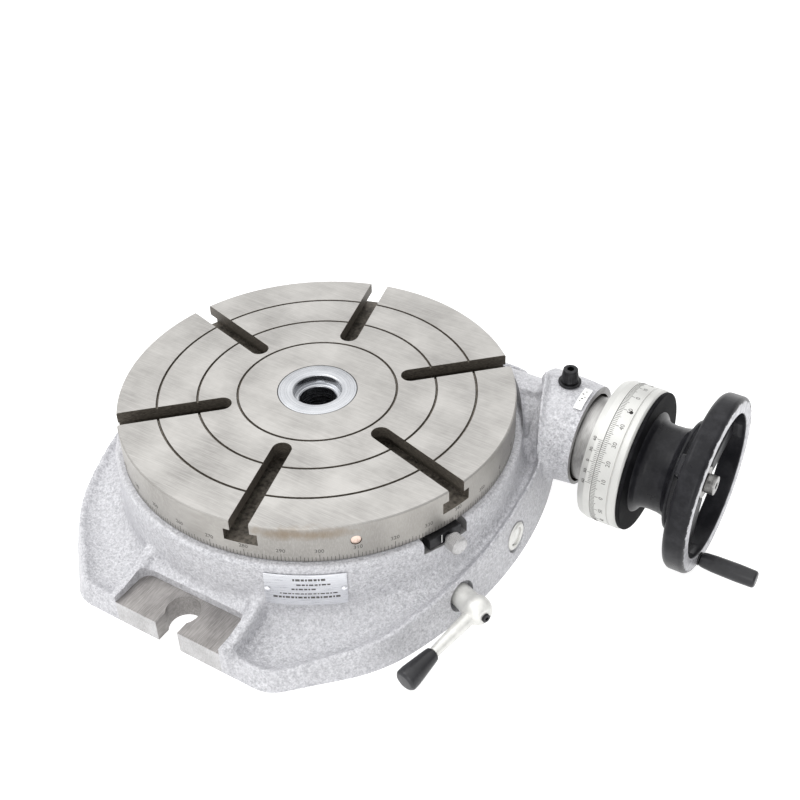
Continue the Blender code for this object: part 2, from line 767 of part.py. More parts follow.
def worktable():
    chamfer = 0.8 * MM
    underside = SEAT_TOP + GAP
    profile = [
        (SLEEVE_RADIUS + GAP, TOTAL_HEIGHT),
        (TABLE_RADIUS - chamfer, TOTAL_HEIGHT),
        (TABLE_RADIUS, TOTAL_HEIGHT - chamfer),
        (TABLE_RADIUS, RING_TOP + GAP),
        (SKIRT_INNER_RADIUS, RING_TOP + GAP),
        (SKIRT_INNER_RADIUS, underside),
        (TABLE_BOSS_RADIUS, underside),
        (TABLE_BOSS_RADIUS, TABLE_BOSS_BOTTOM),
        (JOURNAL_RADIUS, TABLE_BOSS_BOTTOM),
        (JOURNAL_RADIUS, JOURNAL_BOTTOM),
        (JOURNAL_BORE_RADIUS, JOURNAL_BOTTOM),
        (JOURNAL_BORE_RADIUS, TOTAL_HEIGHT - SLEEVE_LENGTH - GAP),
        (SLEEVE_RADIUS + GAP, TOTAL_HEIGHT - SLEEVE_LENGTH - GAP),
    ]
    table = turned("worktable", profile, GROUND_IRON, steps=TABLE_STEPS)
    for i in range(TSLOT_COUNT):
        for cutter in tslot_cutters(i):
            cut(table, cutter)
    plug_place = radial(radians(-45.8), TOTAL_HEIGHT - 12 * MM)
    cut(table, cylinder("rim_plug_hole", 3.3 * MM, 118 * MM, 130 * MM, None, plug_place, 16))
    cylinder("rim_plug", 3 * MM, 118.5 * MM, TABLE_RADIUS - 0.2 * MM, COPPER, plug_place, 16)
    return table


def centre_sleeve():
    """The hardened bush with the locating recess and the taper bore."""
    recess_floor = TOTAL_HEIGHT - SLEEVE_RECESS_DEPTH
    bottom = TOTAL_HEIGHT - SLEEVE_LENGTH
    small_radius = TAPER_LARGE_RADIUS - TAPER_PER_LENGTH * (recess_floor - bottom)
    chamfer = 0.8 * MM
    profile = [
        (SLEEVE_RECESS_RADIUS + chamfer, TOTAL_HEIGHT),
        (SLEEVE_RADIUS, TOTAL_HEIGHT),
        (SLEEVE_RADIUS, bottom),
        (small_radius, bottom),
        (TAPER_LARGE_RADIUS, recess_floor),
        (SLEEVE_RECESS_RADIUS, recess_floor),
        (SLEEVE_RECESS_RADIUS, TOTAL_HEIGHT - chamfer),
    ]
    return turned("centre_sleeve", profile, HARD_STEEL, steps=36)


def tooth_half_width(height):
    """Half a tooth's width at a height above the pitch line."""
    return TOOTH_WIDTH / 2 - height * PRESSURE_SLOPE


def wheel_outline():
    """(radius, angle) around the worm wheel, with a tooth space at 90 degrees."""
    pitch = 2 * pi / WHEEL_TEETH
    root = WHEEL_PITCH_RADIUS - TOOTH_DEDENDUM
    tip = WHEEL_PITCH_RADIUS + TOOTH_ADDENDUM
    root_half = tooth_half_width(-TOOTH_DEDENDUM) / WHEEL_PITCH_RADIUS
    tip_half = tooth_half_width(TOOTH_ADDENDUM) / WHEEL_PITCH_RADIUS
    points = []
    for i in range(WHEEL_TEETH):
        centre = pi / 2 + (i + 0.5) * pitch
        points += [
            (root, centre - root_half),
            (tip, centre - tip_half),
            (tip, centre + tip_half),
            (root, centre + root_half),
        ]
    return points


def worm_wheel():
    """Helical teeth whose slope matches the worm's lead, on a ring bored for the pedestal."""
    lead_slope = AXIAL_PITCH / (2 * pi * WORM_PITCH_RADIUS)
    twist = lead_slope / WHEEL_PITCH_RADIUS
    outline = wheel_outline()
    bm = bmesh.new()
    rings = []
    for height in (WHEEL_BOTTOM, WHEEL_TOP):
        turn = twist * (height - WORM_HEIGHT)
        rings.append([bm.verts.new((r * cos(a + turn), r * sin(a + turn), height)) for r, a in outline])
    low, high = rings
    bm.faces.new(reversed(low))
    bm.faces.new(high)
    for i in range(len(low)):
        j = (i + 1) % len(low)
        bm.faces.new((low[i], low[j], high[j], high[i]))
    wheel = add_object("worm_wheel", mesh_from(bm, "worm_wheel"), BRONZE)
    start = WHEEL_BOTTOM - OVERRUN
    end = WHEEL_TOP + OVERRUN
    cut(wheel, cylinder("wheel_bore", WHEEL_BORE_RADIUS, start, end, segments=32))
    return wheel


def wheel_screws(wheel, table):
    """Four cap screws, sunk into the wheel from below, that bolt it to the table's boss."""
    circle = 62 * MM
    shank = 3 * MM
    head_depth = 5 * MM
    for i in range(4):
        place = Matrix.Rotation(radians(45 + 90 * i), 4, "Z") @ at(circle, 0, WHEEL_BOTTOM + head_depth)
        place = place @ Matrix.Rotation(pi, 4, "X")
        sink = cylinder(f"wheel_screw_sink_{i + 1}", 5.3 * MM, -GAP, 10 * MM, None, place, 10)
        cut(wheel, sink)
        screw_hole(wheel, f"wheel_screw_hole_{i + 1}", place, shank, 20 * MM)
        screw_hole(table, f"wheel_screw_socket_{i + 1}", place, shank, 24.5 * MM)
        socket_screw(f"wheel_screw_{i + 1}", place, shank, 24 * MM, BLACK_OXIDE, head=(1.6, 1.55), steps=8)


def clamp_disc(table):
    """The flange under the journal: it holds the table down, and the clamp shoe presses on its rim."""
    top = JOURNAL_BOTTOM - GAP
    bottom = 8 * MM
    profile = [
        (JOURNAL_BORE_RADIUS, top),
        (CLAMP_DISC_RADIUS, top),
        (CLAMP_DISC_RADIUS, bottom + 2 * MM),
        (CLAMP_DISC_RADIUS - 2 * MM, bottom),
        (JOURNAL_BORE_RADIUS, bottom),
    ]
    disc = turned("clamp_disc", profile, CAST_STEEL, steps=36)
    circle = 21.5 * MM
    shank = 3 * MM
    head_depth = 5 * MM
    for i in range(4):
        place = Matrix.Rotation(radians(90 * i), 4, "Z") @ at(circle, 0, bottom + head_depth)
        place = place @ Matrix.Rotation(pi, 4, "X")
        cut(disc, cylinder(f"disc_screw_sink_{i + 1}", 5.3 * MM, -GAP, 8 * MM, None, place, 10))
        screw_hole(disc, f"disc_screw_hole_{i + 1}", place, shank, 12 * MM)
        screw_hole(table, f"disc_screw_socket_{i + 1}", place, shank, 20.5 * MM)
        socket_screw(f"disc_screw_{i + 1}", place, shank, 20 * MM, BLACK_OXIDE, head=(1.6, 1.55), steps=8)


# ---------------------------------------------------------------- worm and its eccentric sleeve


def sleeve_window():
    """What is cut off the sleeve beside the wheel: clear of the teeth however far the sleeve turns."""
    reach = SLEEVE_BODY_RADIUS + 2 * MM
    steps = 12
    sector = [(0.0, 0.0)]
    for k in range(steps + 1):
        angle = WINDOW_FIRST_ANGLE + (WINDOW_LAST_ANGLE - WINDOW_FIRST_ANGLE) * k / steps
        sector.append((-reach * sin(angle), reach * cos(angle)))
    return prism("sleeve_window", sector, -WINDOW_HALF_LENGTH, WINDOW_HALF_LENGTH, None, eccentric_axis())


def eccentric_sleeve():
    """A sleeve turning in the base, bored off-centre for the worm."""
    profile = [
        (0, SLEEVE_FRONT_X),
        (SLEEVE_HEAD_RADIUS, SLEEVE_FRONT_X),
        (SLEEVE_HEAD_RADIUS, SLEEVE_HEAD_X),
        (SLEEVE_BODY_RADIUS, SLEEVE_HEAD_X),
        (SLEEVE_BODY_RADIUS, SLEEVE_REAR_X),
        (0, SLEEVE_REAR_X),
    ]
    sleeve = turned("eccentric_sleeve", profile, BRIGHT_STEEL, eccentric_axis(), 32)
    bore = [
        (0, SLEEVE_FRONT_X + OVERRUN),
        (SLEEVE_BEARING_RADIUS, SLEEVE_FRONT_X + OVERRUN),
        (SLEEVE_BEARING_RADIUS, SLEEVE_BEARING_X),
        (WORM_BORE_RADIUS, SLEEVE_BEARING_X),
        (WORM_BORE_RADIUS, SLEEVE_REAR_X - OVERRUN),
        (0, SLEEVE_REAR_X - OVERRUN),
    ]
    cut(sleeve, turned("sleeve_bore", bore, None, worm_axis(), 24))
    cut(sleeve, sleeve_window())
    return sleeve


def sleeve_bearings():
    """The two plain bushes, the ball bearing and its retainer, all held in the sleeve."""
    shaft_clear = SHAFT_RADIUS + GAP
    bush_outer = WORM_BORE_RADIUS - GAP
    journal_clear = REAR_JOURNAL_RADIUS + GAP
    axis = worm_axis()
    ring("worm_rear_bush", journal_clear, bush_outer, -58 * MM, -42 * MM, BRONZE, axis, 16)
    ring("worm_front_bush", shaft_clear, bush_outer, 96 * MM, 118 * MM, BRONZE, axis, 16)
    outer = SLEEVE_BEARING_RADIUS - GAP
    bearing_start = SLEEVE_BEARING_X + GAP
    bearing_end = bearing_start + 11.7 * MM
    ring("worm_ball_bearing", shaft_clear, outer, bearing_start, bearing_end, HARD_STEEL, axis, 20)
    retainer_start = bearing_end + GAP
    retainer_end = SLEEVE_FRONT_X - 0.4 * MM
    ring("bearing_retainer", 10 * MM, outer, retainer_start, retainer_end, DARK_STEEL, axis, 24)


def vernier_ring(sleeve):
    """The fixed scale ring on the sleeve's head, with its web and two screws."""
    rear = 161.4 * MM
    web_rear = SLEEVE_FRONT_X + GAP
    profile = [
        (11 * MM, VERNIER_FRONT_X - MM),
        (40 * MM, VERNIER_FRONT_X - MM),
        (40 * MM, VERNIER_FRONT_X),
        (DIAL_RADIUS, VERNIER_FRONT_X),
        (DIAL_RADIUS, rear + 4.5 * MM),
        (DIAL_RADIUS - 1.6 * MM, rear),
        (42 * MM, rear),
        (40 * MM, 164 * MM),
        (31 * MM, 164 * MM),
        (31 * MM, web_rear),
        (11 * MM, web_rear),
    ]
    vernier = turned("vernier_ring", profile, SATIN_CHROME, worm_axis(), 40)
    shank = 1.5 * MM
    for i, side in enumerate((-1, 1)):
        place = worm_axis(VERNIER_FRONT_X - MM) @ at(0, side * 22.7 * MM, 0)
        screw_hole(vernier, f"vernier_sink_{i + 1}", place, shank, 12 * MM, countersink=True)
        screw_hole(sleeve, f"vernier_socket_{i + 1}", place, shank, 16.5 * MM)
        countersunk_screw(f"vernier_screw_{i + 1}", place, shank, 16 * MM, DARK_STEEL, 12)


def worm_thread():
    """The one-start right-hand thread on its root cylinder, with a crest facing the wheel at x = 0.

    The vertices follow the helix: around ones for each turn, four for each pitch.
    """
    around = 16
    turns = 5
    root = WORM_PITCH_RADIUS - TOOTH_DEDENDUM
    tip = WORM_PITCH_RADIUS + TOOTH_ADDENDUM
    root_half = tooth_half_width(-TOOTH_DEDENDUM)
    tip_half = tooth_half_width(TOOTH_ADDENDUM)
    stations = []
    for turn in range(-turns, turns + 1):
        centre = turn * AXIAL_PITCH
        for offset, radius in ((-root_half, root), (-tip_half, tip), (tip_half, tip), (root_half, root)):
            stations.append((centre + offset, radius))
    half_length = turns * AXIAL_PITCH / 2
    fade_length = 0.6 * AXIAL_PITCH
    bm = bmesh.new()
    rings = []
    for k in range(around + 1):
        angle = 2 * pi * k / around
        column = []
        for station, radius in stations:
            x = station + AXIAL_PITCH * k / around
            x = max(-half_length, min(half_length, x))
            fade = min(1.0, (half_length - abs(x)) / fade_length)
            r = root + (radius - root) * fade
            column.append(bm.verts.new((x, -r * cos(angle), -r * sin(angle))))
        rings.append(column)
    for first, second in zip(rings, rings[1:]):
        for i in range(len(stations) - 1):
            bm.faces.new((first[i], second[i], second[i + 1], first[i + 1]))
    bmesh.ops.remove_doubles(bm, verts=bm.verts, dist=0.000001)
    for end in (-half_length, half_length):
        rim = [v for v in bm.verts if abs(v.co.x - end) < 0.000001]
        rim.sort(key=lambda v: atan2(v.co.z, v.co.y))
        bm.faces.new(rim)
    bmesh.ops.dissolve_degenerate(bm, edges=bm.edges, dist=0.000001)
    return mesh_from(bm, "worm_shaft")


def worm_shaft():
    """The worm and its shaft, with the collar that rests on the ball bearing."""
    shaft = add_object("worm_shaft", worm_thread(), BRIGHT_STEEL, at(0, CENTRE_DISTANCE, WORM_HEIGHT))
    collar_front = 139.6 * MM
    collar_rear = 121 * MM
    spindle = [
        (0, SHAFT_FRONT_X),
        (SHAFT_RADIUS, SHAFT_FRONT_X),
        (SHAFT_RADIUS, collar_front),
        (WORM_BORE_RADIUS - 0.5 * MM, collar_front),
        (WORM_BORE_RADIUS - 0.5 * MM, collar_rear),
        (SHAFT_RADIUS, collar_rear),
        (SHAFT_RADIUS, 30 * MM),
        (REAR_JOURNAL_RADIUS, 26 * MM),
        (REAR_JOURNAL_RADIUS, SHAFT_REAR_X),
        (0, SHAFT_REAR_X),
    ]
    join(shaft, turned("worm_spindle", spindle, None, worm_axis(), 20))
    key_seat = box(
        "shaft_keyway",
        (196 * MM, -2.8 * MM, 5 * MM),
        (212.5 * MM, 2.8 * MM, 12 * MM),
        None,
        at(0, CENTRE_DISTANCE, WORM_HEIGHT),
    )
    cut(shaft, key_seat)
    cut(shaft, cylinder("shaft_end_hole", 3.3 * MM, 194 * MM, SHAFT_FRONT_X + MM, None, worm_axis(), 12))
    return shaft


def worm_small_parts():
    """The handwheel's key, washer and screw."""
    box(
        "handwheel_key",
        (196.4 * MM, -2.4 * MM, 5.3 * MM),
        (212 * MM, 2.4 * MM, 10.2 * MM),
        DARK_STEEL,
        at(0, CENTRE_DISTANCE, WORM_HEIGHT),
    )
    seat = 226.3 * MM
    ring("handwheel_washer", 4.3 * MM, 10.5 * MM, seat, seat + 2 * MM, BRIGHT_STEEL, worm_axis(), 16)
    screw_place = worm_axis(seat + 2.3 * MM)
    socket_screw("handwheel_screw", screw_place, 3 * MM, 30 * MM, BRIGHT_STEEL, head=(2.1, 2.0), steps=14)


# ---------------------------------------------------------------- handwheel and dial


def dial_ring():
    """The graduated drum, free to be set to zero on the handwheel's hub."""
    hub_clear = 20.4 * MM
    profile = [
        (hub_clear, DIAL_FRONT_X - 2.8 * MM),
        (43 * MM, DIAL_FRONT_X - 2.8 * MM),
        (43 * MM, DIAL_FRONT_X),
        (DIAL_RADIUS - 1.2 * MM, DIAL_FRONT_X),
        (DIAL_RADIUS, DIAL_FRONT_X - 1.2 * MM),
        (DIAL_RADIUS, DIAL_REAR_X),
        (41 * MM, DIAL_REAR_X),
        (41 * MM, 173.5 * MM),
        (hub_clear, 173.5 * MM),
    ]
    dial = turned("dial_ring", profile, SATIN_CHROME, worm_axis(), 40)
    angle = radians(196)
    x = 179 * MM
    place = worm_axis(x) @ Matrix.Rotation(angle, 4, "Z") @ Matrix.Rotation(pi / 2, 4, "Y")
    cut(dial, cylinder("dial_screw_hole", 1.8 * MM, 18 * MM, 60 * MM, None, place, 12))
    cylinder("dial_lock_screw", 1.5 * MM, 21.5 * MM, DIAL_RADIUS - MM, BLACK_OXIDE, place, 12)
    return dial


def handwheel():
    """Rim, three spokes and a long waisted hub whose flange carries the dial. Returns the crank's place."""
    web_front = 226 * MM
    bore = SHAFT_RADIUS + GAP
    hub_profile = [
        (bore, web_front),
        (18.5 * MM, web_front),
        (18.5 * MM, 219 * MM),
        (36 * MM, 217 * MM),
        (36 * MM, 213 * MM),
        (29.5 * MM, 208.5 * MM),
        (27 * MM, 200 * MM),
        (29 * MM, 192 * MM),
        (35 * MM, 188.6 * MM),
        (42.6 * MM, 187.4 * MM),
        (42.6 * MM, 184.7 * MM),
        (20 * MM, 184.7 * MM),
        (20 * MM, 171 * MM),
        (bore, 171 * MM),
    ]
    wheel = turned("handwheel", hub_profile, BLACK_ENAMEL, worm_axis(), 30)
    edge = 1.6 * MM
    rim_profile = [
        (WHEEL_RIM_INNER_RADIUS, WHEEL_RIM_FRONT_X),
        (WHEEL_RIM_RADIUS - edge, WHEEL_RIM_FRONT_X),
        (WHEEL_RIM_RADIUS, WHEEL_RIM_FRONT_X - edge),
        (WHEEL_RIM_RADIUS, WHEEL_RIM_REAR_X + edge),
        (WHEEL_RIM_RADIUS - edge, WHEEL_RIM_REAR_X),
        (WHEEL_RIM_INNER_RADIUS, WHEEL_RIM_REAR_X),
    ]
    join(wheel, turned("handwheel_rim", rim_profile, None, worm_axis(), 48))
    for i in range(3):
        turn = worm_axis() @ Matrix.Rotation(CRANK_LOCAL + 2 * pi * i / 3, 4, "Z")
        spoke = box(
            f"handwheel_spoke_{i + 1}",
            (12 * MM, -7 * MM, 217.5 * MM),
            (WHEEL_RIM_INNER_RADIUS + 3 * MM, 7 * MM, 227.5 * MM),
            None,
            turn,
        )
        join(wheel, spoke)
    cut(wheel, cylinder("handwheel_bore", bore, 160 * MM, 240 * MM, None, worm_axis(), 20))
    keyway = box(
        "handwheel_keyway",
        (160 * MM, -2.8 * MM, 0),
        (213 * MM, 2.8 * MM, 10.6 * MM),
        None,
        at(0, CENTRE_DISTANCE, WORM_HEIGHT),
    )
    cut(wheel, keyway)
    crank_place = worm_axis() @ Matrix.Rotation(CRANK_LOCAL, 4, "Z") @ at(CRANK_RADIUS, 0, 0)
    cut(wheel, cylinder("crank_pin_hole", 3.3 * MM, 215 * MM, 240 * MM, None, crank_place, 16))
    return crank_place


def crank(place):
    """The pin fixed in the rim and the grip that turns on it."""
    pin = 3 * MM
    grip_start = WHEEL_RIM_FRONT_X + 1.4 * MM
    grip_end = grip_start + CRANK_GRIP_LENGTH
    collar = WHEEL_RIM_FRONT_X + 1.1 * MM
    profile = [
        (0, grip_end - 4 * MM),
        (pin - 0.4 * MM, grip_end - 4 * MM),
        (pin - 0.4 * MM, collar),
        (4.6 * MM, collar),
        (4.6 * MM, WHEEL_RIM_FRONT_X + GAP),
        (pin, WHEEL_RIM_FRONT_X + GAP),
        (pin, 223.5 * MM),
        (0, 223.5 * MM),
    ]
    turned("crank_pin", profile, BLACK_OXIDE, place, 16)
    grip = CRANK_GRIP_RADIUS
    grip_profile = [
        (0, grip_end),
        (grip - MM, grip_end),
        (grip, grip_end - MM),
        (grip + 0.2 * MM, (grip_start + grip_end) / 2),
        (grip - 0.3 * MM, grip_start + 0.6 * MM),
        (grip - MM, grip_start),
        (pin, grip_start),
        (pin, grip_end - 3.5 * MM),
        (0, grip_end - 3.5 * MM),
    ]
    turned("crank_grip", grip_profile, BLACK_PLASTIC, place, 16)


# ---------------------------------------------------------------- table clamp


def clamp(base):
    """The threaded rod and its bronze shoe in a radial bore, and the ball lever outside."""
    place = radial(CLAMP_ANGLE, CLAMP_HEIGHT)
    shoe_radius = 5.5 * MM
    shoe_inner = CLAMP_DISC_RADIUS + 0.6 * MM
    shoe_outer = shoe_inner + 12 * MM
    rod_end = CLAMP_HUB_DISTANCE - 2 * MM
    bore_outer = 139 * MM
    cut(base, cylinder("clamp_bore", shoe_radius + GAP, 60 * MM, 150 * MM, None, place, 24))
    cut(base, cylinder("clamp_spotface", 9.6 * MM, bore_outer, 170 * MM, None, place, 24))
    cylinder("clamp_shoe", shoe_radius, shoe_inner, shoe_outer, BRONZE, place, 20)
    cylinder("clamp_rod", CLAMP_ROD_RADIUS, shoe_outer + GAP, rod_end, DARK_STEEL, place, 20)
    hub_place = place @ at(0, 0, CLAMP_HUB_DISTANCE)
    lever = clamp_lever(hub_place)
    cut(lever, cylinder("clamp_hub_bore", CLAMP_ROD_RADIUS + GAP, 130 * MM, rod_end + GAP, None, place, 20))


def lever_frame(hub_place):
    """Local Z along the lever arm, from the hub's centre."""
    outward = (hub_place.to_3x3() @ Vector((0, 0, 1))).normalized()
    forward = outward.cross(Vector((0, 0, 1))).normalized()
    in_plane = forward * cos(LEVER_DROP) - Vector((0, 0, 1)) * sin(LEVER_DROP)
    arm = (in_plane * cos(LEVER_TILT) + outward * sin(LEVER_TILT)).normalized()
    side = arm.cross(outward).normalized()
    turn = Matrix((side, arm.cross(side), arm)).transposed().to_4x4()
    return Matrix.Translation(hub_place.translation) @ turn


def clamp_lever(hub_place):
    """A ball hub with a short neck, a flat on its outer side, a tapered arm and a plastic grip."""
    bm = bmesh.new()
    bmesh.ops.create_uvsphere(bm, u_segments=20, v_segments=12, radius=CLAMP_HUB_RADIUS)
    mesh = mesh_from(bm, "clamp_lever")
    smooth(mesh)
    lever = add_object("clamp_lever", mesh, ZINC, hub_place)
    neck = cylinder("lever_neck", 7.2 * MM, -17 * MM, -2 * MM, None, hub_place, 24)
    join(lever, neck)
    arm_place = lever_frame(hub_place)
    grip_start = 38 * MM
    arm_end = LEVER_LENGTH - 8 * MM
    arm_profile = [
        (0, arm_end),
        (2.2 * MM, arm_end),
        (2.2 * MM, grip_start),
        (3 * MM, grip_start),
        (4.1 * MM, 8 * MM),
        (4.1 * MM, 3 * MM),
        (0, 3 * MM),
    ]
    join(lever, turned("lever_arm", arm_profile, None, arm_place, 20))
    cut(lever, cylinder("lever_flat", 12 * MM, 7.2 * MM, 20 * MM, None, hub_place, 24))
    screw_hole(lever, "lever_screw_hole", hub_place @ at(0, 0, 7.5 * MM), 1.6 * MM, 8 * MM)
    screw_place = hub_place @ at(0, 0, 7.5 * MM)
    socket_screw("lever_screw", screw_place, 1.6 * MM, 7 * MM, BLACK_OXIDE, head=(1.7, 0.9), steps=8)
    grip_profile = [
        (0, LEVER_LENGTH),
        (5.8 * MM, LEVER_LENGTH),
        (7 * MM, LEVER_LENGTH - 1.2 * MM),
        (7 * MM, LEVER_LENGTH - 5 * MM),
        (4.8 * MM, grip_start + 1.8 * MM),
        (4.2 * MM, grip_start + 0.5 * MM),
        (2.5 * MM, grip_start + 0.5 * MM),
        (2.5 * MM, arm_end + GAP),
        (0, arm_end + GAP),
    ]
    turned("lever_grip", grip_profile, BLACK_PLASTIC, arm_place, 16)
    return lever


# ---------------------------------------------------------------- assembly

clear_scene()
PARTS = new_collection("rotary_table")
CUTTERS = new_collection("cutters", hidden=True)

PAINTED_IRON = material("painted cast iron", (0.56, 0.57, 0.59), 0.45, 0.35)
GROUND_IRON = material("ground cast iron", (0.60, 0.57, 0.54), 0.32, 0.9)
CAST_STEEL = material("cast steel", (0.35, 0.35, 0.36), 0.5, 0.8)
HARD_STEEL = material("hardened steel", (0.55, 0.56, 0.58), 0.2, 1.0)
BRIGHT_STEEL = material("bright steel", (0.66, 0.66, 0.65), 0.22, 1.0)
DARK_STEEL = material("dark steel", (0.16, 0.16, 0.17), 0.4, 0.9)
SHEET_STEEL = material("sheet steel", (0.42, 0.43, 0.44), 0.4, 0.9)
BLACK_OXIDE = material("black oxide", (0.03, 0.03, 0.035), 0.35, 0.7)
BRONZE = material("bronze", (0.58, 0.38, 0.18), 0.35, 1.0)
COPPER = material("copper plug", (0.72, 0.48, 0.38), 0.35, 1.0)
SATIN_CHROME = material("satin chrome", (0.66, 0.66, 0.63), 0.3, 0.9)
ALUMINIUM = material("aluminium", (0.68, 0.69, 0.72), 0.35, 0.9)
ZINC = material("zinc plated steel", (0.74, 0.74, 0.70), 0.3, 0.8)
BLACK_ENAMEL = material("black enamel", (0.02, 0.02, 0.023), 0.3, 0.0)
BLACK_PLASTIC = material("black plastic", (0.025, 0.025, 0.028), 0.35, 0.0)
WHITE_ENAMEL = material("white enamel", (0.85, 0.85, 0.84), 0.4, 0.0)
GLASS = material("oil glass", (0.75, 0.72, 0.55), 0.08, 0.0)

# In the frame of worm_axis(), local +X points down and local +Y points to world +Y.
CRANK_LOCAL = CRANK_ANGLE - radians(270)


def build():
    base = base_casting()
    bottom_cover(base)
    name_plate(base)
    index_fittings(base)
    oil_sight(base)
    filler_plug(base)
    sleeve_lock(base)
    boss_label()
    table = worktable()
    centre_sleeve()
    wheel = worm_wheel()
    wheel_screws(wheel, table)
    clamp_disc(table)
    sleeve = eccentric_sleeve()
    sleeve_bearings()
    vernier_ring(sleeve)
    worm_shaft()
    worm_small_parts()
    dial_ring()
    crank(handwheel())
    clamp(base)


build()
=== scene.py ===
"""The looks of the rotary table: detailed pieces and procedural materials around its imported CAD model.

Shapes are built in millimetres, and make() turns them into the frame's metres.
Noise scales, lights and the camera are in metres.
"""

from math import atan2, cos, pi, radians, sin, sqrt, tan

import bmesh
import bpy
from mathutils import Matrix, Vector

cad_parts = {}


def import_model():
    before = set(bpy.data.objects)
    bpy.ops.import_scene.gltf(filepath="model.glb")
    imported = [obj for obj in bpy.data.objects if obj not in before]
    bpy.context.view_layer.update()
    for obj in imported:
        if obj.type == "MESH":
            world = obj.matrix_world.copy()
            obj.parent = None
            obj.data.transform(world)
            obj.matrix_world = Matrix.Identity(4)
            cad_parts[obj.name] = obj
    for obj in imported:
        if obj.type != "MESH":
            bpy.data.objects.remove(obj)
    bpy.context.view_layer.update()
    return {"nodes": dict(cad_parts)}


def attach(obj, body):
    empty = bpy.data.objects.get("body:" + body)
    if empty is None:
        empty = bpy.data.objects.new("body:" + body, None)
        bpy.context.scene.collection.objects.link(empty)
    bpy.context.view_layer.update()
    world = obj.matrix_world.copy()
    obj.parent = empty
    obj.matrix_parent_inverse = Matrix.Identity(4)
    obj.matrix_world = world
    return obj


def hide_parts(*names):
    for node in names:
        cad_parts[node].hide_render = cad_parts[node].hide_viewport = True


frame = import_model()

MM = 0.001
IDENTITY = Matrix.Identity(4)
HALF_TURN = Matrix.Rotation(pi, 4, "Z")
TO_METRES = Matrix.Scale(MM, 4)
FAR = 200  # past the whole object

# The table's main sizes in millimetres, repeated from the CAD model
TABLE_TOP = 81
TABLE_RADIUS = 125
TABLE_SKIRT = 55.3
TSLOT_FIRST = radians(44)
GROOVE_RADII = (50, 75, 100)
GROOVE_DEPTH = 1.3
RING_TOP = 55
RING_RADIUS = 129.5
WORM_Y = 89.75
WORM_Z = 36
SLEEVE_Z = 39
DIAL_RADIUS = 46.6
CRANK_ANGLE = radians(-17.5)
CRANK_RADIUS = 51.5
CLAMP_ANGLE = radians(-21.4)
CLAMP_Z = 15.1
HUB_DISTANCE = 158
LEVER_LENGTH = 63
INDEX_ANGLE = radians(-21.2)
PLATE_ANGLE = radians(-59.5)
SIGHT_Y = 5.5
SIGHT_Z = 17
SIGHT_FACE = 138.8
PLUG_Z = 24
PLUG_FACE = 138.2
LOCK_PLACE = (131, 92)
LOCK_SEAT = 75.3
KNOB_ANGLE = radians(-20.3)
KNOB_Z = 49.6
RIM_PLUG_ANGLE = radians(-45.8)
RIM_PLUG_Z = 69
LUG_Y = 160.5
PAD_Z = 15.5
PAD_HALF_WIDTH = 38.5
PAD_BACK_Y = 133
STAIN_ANGLE = radians(-59)
SCALE_PHASE = radians(4.6)
VERNIER_ANGLE = radians(-62)
VERNIER_STEP = radians(1.45)
RIM_FRONT_X = 236
WHEEL_RIM_RADIUS = 58
BOSS_Z = 40.5
CREST_WIDTH = 2.6
SHOULDER_RADIUS = 31.5
LEVER_DROP = radians(7)
LEVER_OUT = radians(10)
MARK_PROUD = 0.04

# How the casting is built
UNDERSIDE = -4
DECK_STEPS = 360
DISH_STEPS = 14
CASTING_GRID = 1.5

# The camera: its place and target are in metres, its lens in millimetres
CAMERA_PLACE = Vector((0.3688, -0.4826, 0.5509))
CAMERA_TARGET = Vector((0.0507, 0.0167, 0.081))
CAMERA_ROLL = radians(-1.51)
CAMERA_LENS = 54.85

# ---------------------------------------------------------------- placing and mesh helpers


def at(x, y, z):
    """A move by x, y and z."""
    return Matrix.Translation((x, y, z))


def turned(angle):
    """A turn about the vertical axis."""
    return Matrix.Rotation(angle, 4, "Z")


def along_x(x, y, z):
    """Local Z points along the worm."""
    return at(x, y, z) @ Matrix.Rotation(pi / 2, 4, "Y")


def radial(angle, height):
    """Local Z points outwards from the table's axis."""
    return at(0, 0, height) @ turned(angle) @ Matrix.Rotation(pi / 2, 4, "Y")


WORM = along_x(0, WORM_Y, WORM_Z)
SLEEVE = along_x(0, WORM_Y, SLEEVE_Z)
BOSS = along_x(0, WORM_Y, BOSS_Z)
CRANK = WORM @ turned(CRANK_ANGLE) @ at(CRANK_RADIUS, 0, 0)


def shaded(obj, angle=50):
    """Smooth shading, except over edges sharper than an angle in degrees."""
    obj.data.shade_smooth()
    obj.data.set_sharp_from_angle(angle=radians(angle))
    return obj


def make(name, bm, finish, placed=IDENTITY, smooth=True):
    """A new object from a mesh in millimetres, with its place in its mesh."""
    bmesh.ops.recalc_face_normals(bm, faces=bm.faces)
    mesh = bpy.data.meshes.new(name)
    bm.to_mesh(mesh)
    bm.free()
    mesh.transform(TO_METRES @ placed)
    obj = bpy.data.objects.new(name, mesh)
    bpy.context.scene.collection.objects.link(obj)
    if finish is not None:
        mesh.materials.append(finish)
    return shaded(obj) if smooth else obj


def softened(profile, size, closed=False, pieces=3):
    """The profile with each corner rounded over a distance of size on both sides."""
    count = len(profile)
    out = []
    for i, point in enumerate(profile):
        here = Vector(point)
        if not closed and i in (0, count - 1):
            out.append(point)
            continue
        before = Vector(profile[i - 1]) - here
        after = Vector(profile[(i + 1) % count]) - here
        reach = min(size, 0.42 * before.length, 0.42 * after.length)
        start = here + before.normalized() * reach
        end = here + after.normalized() * reach
        for k in range(pieces + 1):
            t = k / pieces
            out.append(tuple(start * (1 - t) ** 2 + here * 2 * t * (1 - t) + end * t**2))
    return out


